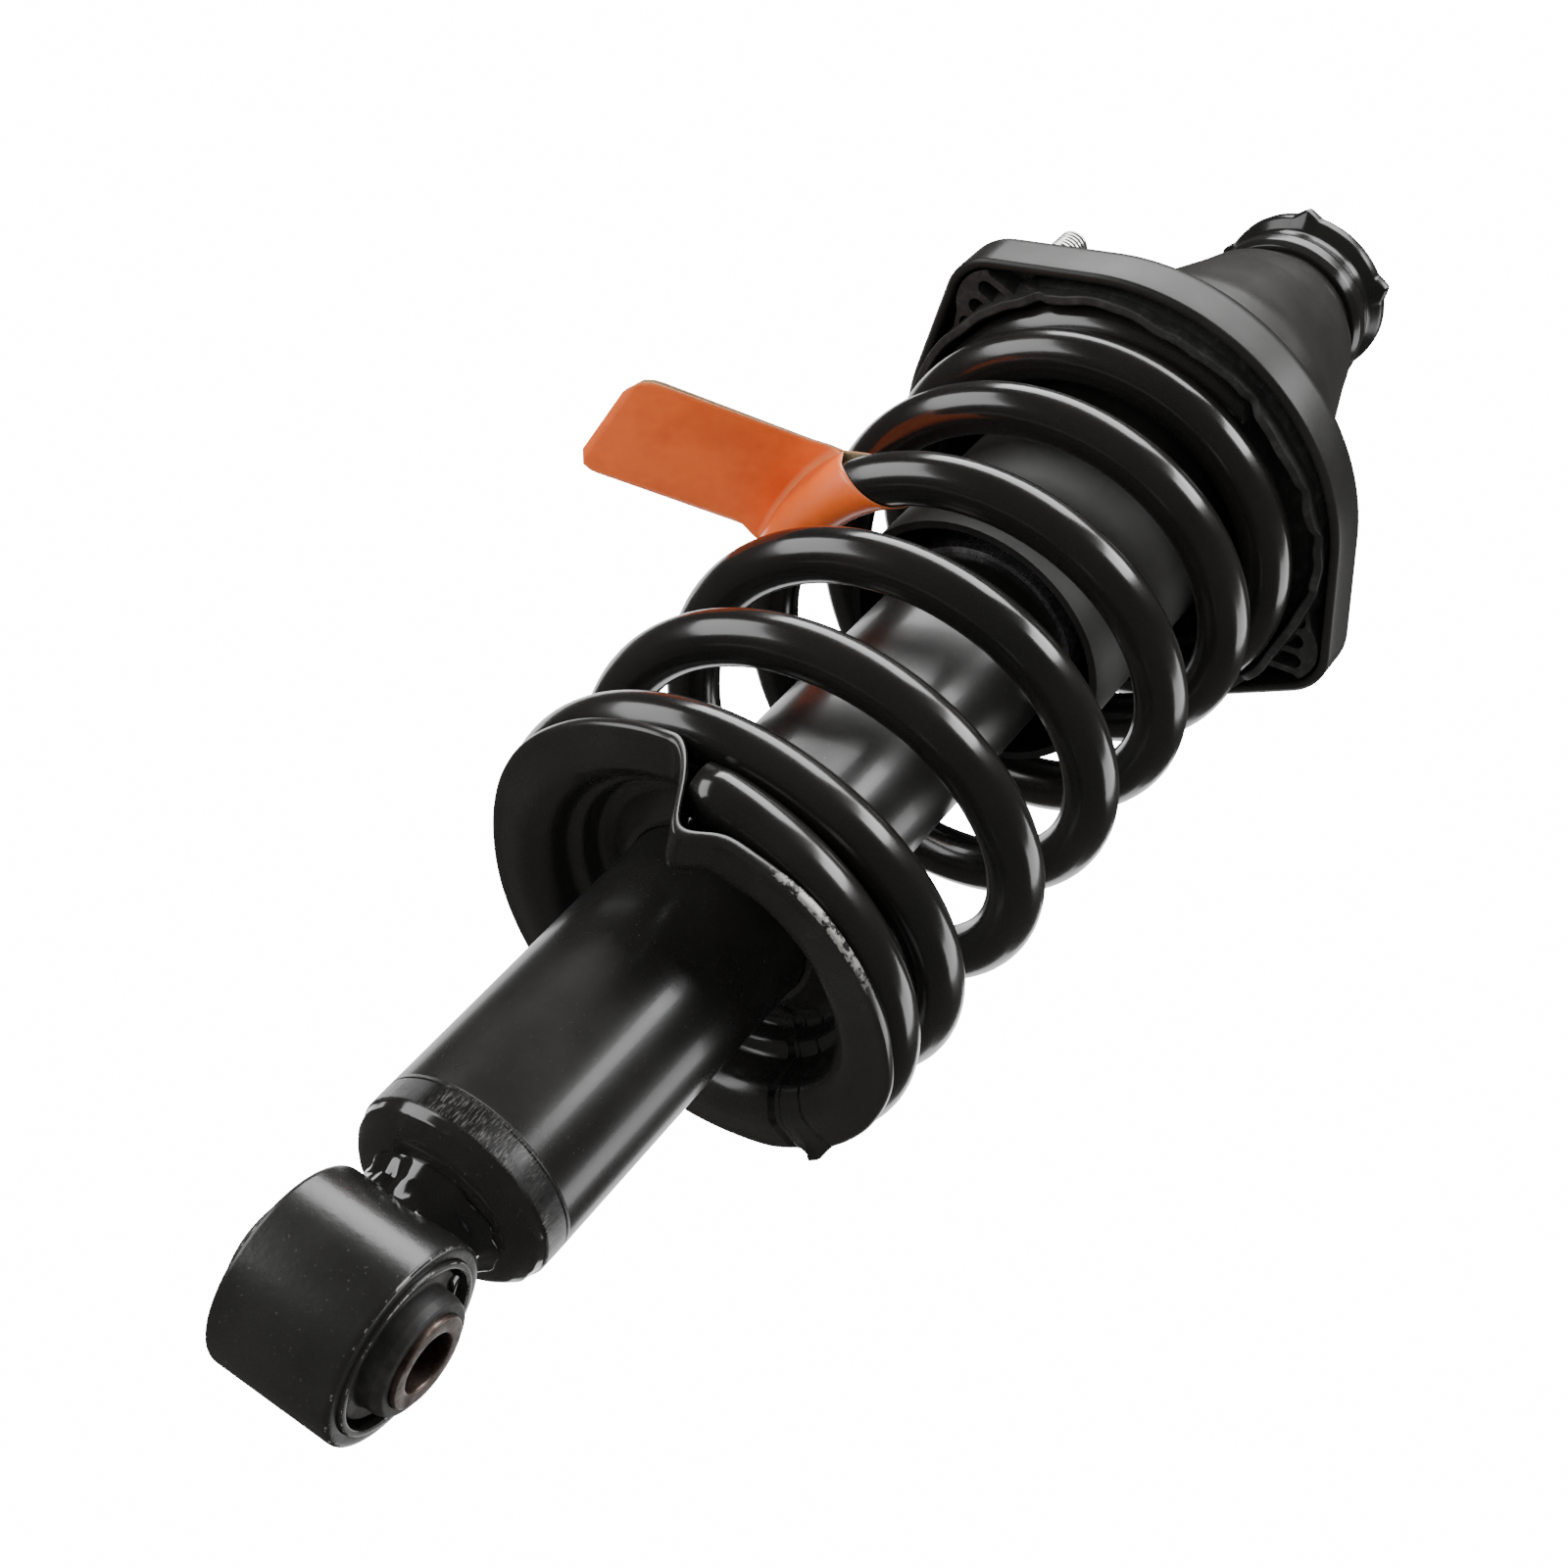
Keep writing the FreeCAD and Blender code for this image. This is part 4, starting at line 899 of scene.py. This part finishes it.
def tag(material):
    """Strip of coated paper folded round one coil, its two plies together as a drooping flag."""
    path, flat_length = tag_path()
    slope, along_wire = spring_slope(TAG_TURN), along_spring(TAG_TURN)
    outward, height = polar(1.0, 360 * TAG_TURN), spring_height(TAG_TURN)
    centre = polar(SPRING_R, 360 * TAG_TURN, height)
    points, edge = [], []
    for index, (place, straight, skew) in enumerate(path):
        tip = min(index, len(path) - 1 - index) / FLAG_STEPS * TAG_LENGTH
        reach = TAG_HALF_WIDTH
        if tip < TAG_CORNER:
            reach -= TAG_CORNER - math.sqrt(TAG_CORNER**2 - (TAG_CORNER - tip) ** 2)
        for column in range(TAG_COLUMNS + 1):
            side = 2 * column / TAG_COLUMNS - 1
            width = side * reach + skew
            flat = centre + outward * place.x + Vector((0, 0, place.y)) + along_wire * width
            angle = 360 * TAG_TURN + math.degrees(width / SPRING_R)
            curved = polar(SPRING_R + place.x, angle, height + slope * width + place.y)
            points.append(curved.lerp(flat, straight))
            edge.append(max(hump(tip, TAG_LENGTH, 1.1), 0.6 * (abs(side) > 0.95)))
    row = TAG_COLUMNS + 1
    starts = [index * row + column for index in range(len(path) - 1) for column in range(TAG_COLUMNS)]
    faces = [(first, first + 1, first + row + 1, first + row) for first in starts]
    marks = {"edge": edge, "inner": [0.0] * len(points)}
    piece = make_object("tag", points, faces, material, "upper_mount", ("warning_tag",), "tag_orange", marks)
    apply_modifier(piece, "SOLIDIFY", thickness=TAG_PLY * MM, offset=0.0)
    mark_inner_face(piece, len(points))
    flat = (2 * TAG_HALF_WIDTH * MM, flat_length * MM)
    return piece


def mark_inner_face(piece, count):
    """Tells the strip's two faces apart: the one nearer the wire at the wrap is the inner one."""
    corners = piece.data.vertices
    wrap = len(corners) // 4
    centre = polar(SPRING_R, 360 * TAG_TURN, spring_height(TAG_TURN))
    first, second = ((corners[index].co / MM - centre).length for index in (wrap, wrap + count))
    values = np.zeros(len(corners), np.float32)
    if second < first:
        values[count:] = 1.0
    else:
        values[:count] = 1.0
    piece.data.attributes["inner"].data.foreach_set("value", values)


# Upper mount


def bell(material):
    """Tall pressed bell, standing on a flange, with a hole for the rod in its top."""
    top, foot = BELL_TOP, PLATE_TOP
    outer = [
        (BELL_FOOT_R, foot + BELL_WALL, 2.0), (40.6, foot + 9, 8), (39.5, foot + 18, 14),
        (36.6, foot + 38, 30), (28.2, foot + 66, 24), (25.6, foot + 76, 14), (BELL_NECK_R, top - 6, 4),
    ]
    inner = [(radius - BELL_WALL, height, fillet) for radius, height, fillet in outer]
    inner[0] = (BELL_FOOT_R - BELL_WALL, foot, 0.4)
    corners = [
        (BELL_FLANGE_R, foot, 0.5), (BELL_FLANGE_R, foot + BELL_WALL, 0.9), *outer, (BELL_NECK_R, top, 0.8),
        (BELL_HOLE_R, top, 0.4), (BELL_HOLE_R, top - BELL_WALL, 0.4),
        (BELL_NECK_R - BELL_WALL, top - BELL_WALL, 1.0), *inner[::-1],
    ]

    def dent(place, angle):
        lump = noise.noise(place * 0.03) * 0.25
        return place + polar(lump, angle) if foot + 4 < place.z < top - 8 else place

    lathe("bell_shell", corners, material, "upper_mount", 160, steps=8, change=dent,
          replaces=("bell",), slot="dark_press")


def collar(material):
    """Collar on the bell's neck: a bead, a groove and a flange with pointed lugs."""
    base, top = COLLAR_LOW, COLLAR_TOP
    flange = base + 14
    corners = [
        (COLLAR_BORE_R, base, 0.3), (21.9, base, 0.6), (22.9, base + 2.2, 2.0), (22.9, base + 5.4, 2.4),
        (21.4, base + 8.4, 2.4), (21.4, base + 10.6, 2.4), (COLLAR_FLANGE_R, flange - 0.4, 1.8),
        (COLLAR_FLANGE_R, top, 1.4), (20.0, top, 1.0), (COLLAR_RECESS_R, top - 2.5, 0.6),
        (COLLAR_RECESS_R, base + 4, 0.3), (COLLAR_BORE_R, base + 4, 0.3),
    ]
    spacing = 360 / LUG_COUNT

    def lug(place, angle):
        off_lug = abs((angle + spacing / 2 + LUG_TURN) % spacing - spacing / 2)
        point = max(0.0, 1 - off_lug / LUG_HALF_ANGLE)
        radius = from_axis(place)
        share = smooth(radius, 21.6, 23.6) * smooth(place.z, flange - 3.0, flange + 0.5)
        lump = noise.noise(place * 0.22) * 0.07 if radius > 20.9 else 0.0
        return place + polar(LUG_REACH * point * share + lump, angle)

    lathe("collar_ring", corners, material, "upper_mount", 288, steps=7, change=lug,
          replaces=("collar",), slot="black_coat")


def plate_edge(degrees):
    """Centre and radius of the circle that makes the outline here, disc or lobe, and the direction."""
    facing = polar(1.0, degrees)
    circles = [(PLATE_CENTRE, PLATE_R)] + [(polar(STUD_CIRCLE_R, angle), LOBE_R) for angle in STUD_ANGLES]
    centre, radius = max(circles, key=lambda circle: circle[0].dot(facing) + circle[1])
    return centre, radius, facing


def arc(centre, radius, start, end, steps):
    """Plate rows on an arc about an (inset, height) centre, with degrees from the inward direction."""
    rows = []
    for step in range(steps + 1):
        angle = math.radians(start + (end - start) * step / steps)
        rows.append((centre[0] + radius * math.cos(angle), centre[1] + radius * math.sin(angle), 0.0))
    return rows


def mount_plate(material):
    """Pressed plate with a deep skirt round its disc and its two lobes.

    A row of its section is (inset from the outline, height, edge mark). Where the first number is negative,
    the row is a circle of that radius about the axis instead.
    """
    top, bottom, sheet, corner = PLATE_TOP, PLATE_LOW, PLATE_SHEET, PLATE_CORNER
    bend = (corner, top - corner)
    rows = [(0.1, bottom + 0.5, 1.0), (0.0, bottom + 1.2, 0.4), (0.0, bottom + 4.0, 0.0)]
    rows += arc(bend, corner, 180, 90, 9)
    rows += [(10.0, top, 0.0), (-PLATE_FLAT_R, top, 0.0), (-PLATE_HOLE_R, top, 0.2)]
    rows += [(-PLATE_HOLE_R, top - sheet, 0.2), (-PLATE_FLAT_R, top - sheet, 0.0), (10.0, top - sheet, 0.0)]
    rows += arc(bend, corner - sheet, 90, 180, 7)
    rows += [(sheet, bottom + 1.0, 0.2), (sheet - 0.4, bottom + 0.1, 0.8), (1.3, bottom, 1.0)]
    sides = 288
    points, edge = [], []
    for side in range(sides):
        degrees = 360 * side / sides
        centre, radius, facing = plate_edge(degrees)
        for inset, height, mark in rows:
            place = centre + facing * (radius - inset) if inset >= 0 else polar(-inset, degrees)
            points.append(Vector((place.x, place.y, height)))
            edge.append(mark)
    faces = ring_faces(sides, len(rows), closed=True)
    piece = make_object("top_plate", points, faces, material, "upper_mount",
                        ("mount_plate",), "dark_press", {"edge": edge})
    fix_normals(piece)


def insulator(material):
    """Rubber channel over the top coil with a torn, wavy rim, and a slotted pad under each lobe."""
    rim, hub, bore = INSULATOR_RIM_Z, INSULATOR_HUB_Z, COVER_BAND_R + 0.1
    inner, outer = SPRING_R - WIRE_R - 0.2, SPRING_R + WIRE_R + 0.3
    pad = UNDER_PLATE - INSULATOR_PAD
    corners = [
        (bore, UNDER_PLATE, 0.3), (outer + 4.4, UNDER_PLATE, 0.3), (outer + 4.6, UNDER_PLATE - 8, 2.0),
        (outer + 3.6, rim + 4, 2.0), (outer + 3.8, rim, 0.5), (outer + 1.6, rim - 0.4, 0.6),
        (outer, rim + 4.6, 2.0), (outer, pad, 3.0), (inner, pad, 3.0), (inner, hub, 0.6), (bore, hub, 0.6),
    ]

    def torn(place, angle):
        share = smooth(from_axis(place), outer - 0.5, outer + 1.5) * smooth(place.z, rim + 9, rim + 1)
        wave = noise.noise(polar(2.2, angle)) * 1.6 + noise.noise(polar(8.0, angle)) * 0.5
        notch = sum(hump(apart(angle, middle), 0, 2.2) for middle in RIM_NOTCHES)
        return place + polar(0.9 * wave * share, angle, (1.1 * wave + 2.2 * notch) * share)

    lathe("insulator_ring", corners, material, "upper_mount", 288, change=torn,
          replaces=("insulator",), slot="rubber_black")
    for index, angle in enumerate(STUD_ANGLES):
        lobe_pad(index, angle, material)


def lobe_pad(index, angle, material):
    """Rubber pad that fills a lobe of the plate, with parallel rounded slots moulded into it."""
    centre = polar(STUD_CIRCLE_R, angle)
    outline = [centre + polar(LOBE_R - PAD_INSET, angle + side) for side in range(-64, 65, 2)]
    outline += [polar(PAD_R, angle + side) for side in range(16, -17, -2)]
    points, faces = prism(outline, PAD_LOW, UNDER_PLATE)
    pad = make_object(f"lobe_pad_{index}", points, faces, material, "upper_mount",
                      slot="rubber_black", smooth_faces=False)
    fix_normals(pad)
    cutter = slot_cutter(angle)
    apply_modifier(pad, "BOOLEAN", object=cutter, operation="DIFFERENCE")
    apply_modifier(pad, "BEVEL", width=0.5 * MM, segments=2, limit_method="ANGLE")
    bpy.data.objects.remove(cutter)


def slot_cutter(angle):
    """Stadium-shaped prisms side by side across a lobe."""
    along = polar(1.0, angle - SLOT_SLANT)
    beside = Vector((-along.y, along.x, 0))
    middle = polar(STUD_CIRCLE_R + 2.0, angle)
    points, faces = [], []
    for slot in range(SLOT_COUNT):
        centre = middle + beside * ((slot - (SLOT_COUNT - 1) / 2) * (SLOT_WIDTH + SLOT_RIB))
        outline = []
        for end in (1, -1):
            tip = centre + along * (end * (SLOT_LENGTH - SLOT_WIDTH) / 2)
            for part in range(9):
                bend = math.radians(-90 + 22.5 * part)
                round_tip = along * math.cos(bend) + beside * math.sin(bend)
                outline.append(tip + round_tip * (end * SLOT_WIDTH / 2))
        more_points, more_faces = prism(outline, PAD_LOW - 1.0, PAD_LOW + SLOT_DEPTH, len(points))
        points += more_points
        faces += more_faces
    mesh = bpy.data.meshes.new("slot_cutter")
    mesh.from_pydata([tuple(point * MM) for point in points], [], faces)
    return link("slot_cutter", mesh)


def studs(material):
    """Threaded studs with a splined head: each is turned with a helical thread."""
    around = 48
    foot, length = PLATE_TOP + 2.0, STUD_TIP - PLATE_TOP
    steps = int(length / THREAD_PITCH * 10)
    rows = [(PLATE_TOP - 2.5, STUD_SPLINE_R), (PLATE_TOP + 0.05, STUD_SPLINE_R)]
    rows += [(PLATE_TOP + 0.1, STUD_SHANK_R), (foot, STUD_SHANK_R)]
    rows += [(foot + (length - 3.2) * step / steps, None) for step in range(1, steps)]
    rows += [(STUD_TIP - 1.1, 3.5), (STUD_TIP, 2.9)]
    points, faces = [], []
    for angle in STUD_ANGLES:
        place = polar(STUD_CIRCLE_R, angle)
        base = len(points)
        for height, radius in rows:
            for side in range(around):
                size = radius or thread_radius(height / THREAD_PITCH - side / around)
                points.append(place + polar(size, 360 * side / around, height))
        last = len(points) - around
        faces += ring_faces(len(rows), around, base)
        faces += [tuple(range(base, base + around))[::-1], tuple(range(last, last + around))]
    make_object("threaded_studs", points, faces, material, "upper_mount", ("mount_studs",), "zinc_steel")


def thread_radius(pitches):
    """Radius of the thread at a place along its helix, counted in pitches."""
    crest_share = min(1.0, 1.9 * (1 - abs(2 * (pitches % 1.0) - 1)))
    return THREAD_ROOT_R + (THREAD_CREST_R - THREAD_ROOT_R) * crest_share


def bump_stop(material):
    """Foam stop on the rod, waisted between its waves."""
    head = STOP_HEAD + STOP_SHOULDER
    wave = (STOP_TOP - STOP_LOW - head) / STOP_WAVES
    corners = [(STOP_BORE_R, STOP_TOP, 0.8), (STOP_R, STOP_TOP, 1.0), (STOP_R, STOP_TOP - STOP_HEAD, 2.5)]
    for step in range(STOP_WAVES):
        crest = STOP_TOP - head - wave * (step + 1)
        size = STOP_R - STOP_TAPER * step
        corners += [(size - 5.5, crest + wave * 0.92, 3.0), (size - 1.6, crest + wave * 0.45, 5.0)]
    corners += [(STOP_BORE_R + 4.0, STOP_LOW, 2.0), (STOP_BORE_R, STOP_LOW, 0.8)]

    def pores(place, angle):
        return place + polar(noise.noise(place * 0.35) * 0.25, angle)

    return lathe("foam_stop", corners, material, "upper_mount", 96, steps=8, change=pores,
                 replaces=("bump_stop",), slot="foam_stop")


# Building it all

add_camera()
add_world()
for light_name, setting in LIGHTS.items():
    add_light(light_name, *setting)

worked = steel("plain_steel_skin", rgb(0.52, 0.52, 0.54), 0.30)
zinc = steel("zinc_plate", rgb(0.72, 0.72, 0.70), 0.22)
chrome = steel("rod_chrome_skin", rgb(0.75, 0.75, 0.77), 0.08, tarnish=rgb(0.66, 0.66, 0.68))
soft_black = rubber("soft_black", rgb(0.0254, 0.0243, 0.0231), 620.0, 0.05)
cover_plastic = plastic("cover_plastic", rgb(0.0145, 0.0141, 0.0133), 0.58)
liner = plastic("liner_plastic", rgb(0.40, 0.36, 0.26), 0.5)

# Materials of the CAD nodes that stay in sight or inside
SKINS = {
    "piston_rod": chrome, "piston": worked, "piston_band": liner, "piston_discs": worked,
    "piston_nut": worked, "rebound_stop": soft_black, "rebound_retainer": worked,
    "bump_cup": worked, "dust_cover": cover_plastic, "lower_washer": worked,
    "lower_bush": soft_black, "spacer_sleeve": worked, "upper_bush": soft_black,
    "upper_washer": zinc, "rod_nut": zinc, "striker_cap": worked, "pressure_tube": worked,
    "base_valve_body": worked, "base_valve_discs": worked, "base_valve_rivet": worked,
    "rod_guide": worked, "rod_bush": liner, "rod_seal": soft_black,
}
for node, skin in SKINS.items():
    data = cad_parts[node].data
    data.materials.clear()
    data.materials.append(skin)

eye_paint = paint("eye_paint", rgb(0.0086, 0.0084, 0.0079), 0.30, 0.035, coat=0.10, wear=0.14, dust=0.35)
shell_paint = paint("shell_paint", rgb(0.0139, 0.0135, 0.0127), 0.28, 0.012, wear=0.28)
sleeve_steel = steel("sleeve_steel", rgb(0.13, 0.10, 0.085), 0.40, tarnish=rgb(0.0340, 0.0163, 0.0116))
lower_eye(eye_paint, shell_paint, bush_face(), sleeve_steel)
weld_neck(paint("weld_paint", rgb(0.0069, 0.0067, 0.0063), 0.10, coat=0.5))
reservoir(reservoir_paint())

# The foot coil stays on the seat, and the rest goes with the upper mount
gloss_black = paint("spring_paint", rgb(0.0075, 0.0074, 0.0069), 0.21, coat=0.30,
                    tint=rgb(0.0112, 0.0100, 0.0088))
wire_piece("spring_foot_coil", WIRE_CUT_TURN, FOOT_END_TURN, gloss_black, "damper", slot="spring_gloss")
coils = wire_piece("spring_coils", FOOT_END_TURN, SPRING_END[0], gloss_black, "upper_mount",
                   replaces=("coil_spring",), slot="spring_gloss")
lower_seat(paint("seat_paint", rgb(0.0099, 0.0096, 0.0089), 0.27, coat=0.15, wear=0.50))
stop = bump_stop(rubber("stop_foam", rgb(0.48, 0.43, 0.30), 900.0, 0.12))
paper = tag(tag_paper())
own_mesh(coils)
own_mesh(paper)
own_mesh(stop)

bell(paint("bell_paint", rgb(0.0145, 0.0139, 0.0125), 0.35, 0.008, shine=0.34))
collar(paint("collar_paint", rgb(0.0086, 0.0084, 0.0079), 0.22, coat=0.08, shine=0.35))
mount_plate(paint("press_paint", rgb(0.0102, 0.0099, 0.0091), 0.40, 0.012, shine=0.25))
insulator(rubber("mount_rubber", rgb(0.0139, 0.0137, 0.0129), 480.0, 0.10, bloom=0.55))
studs(zinc)
add_floor()
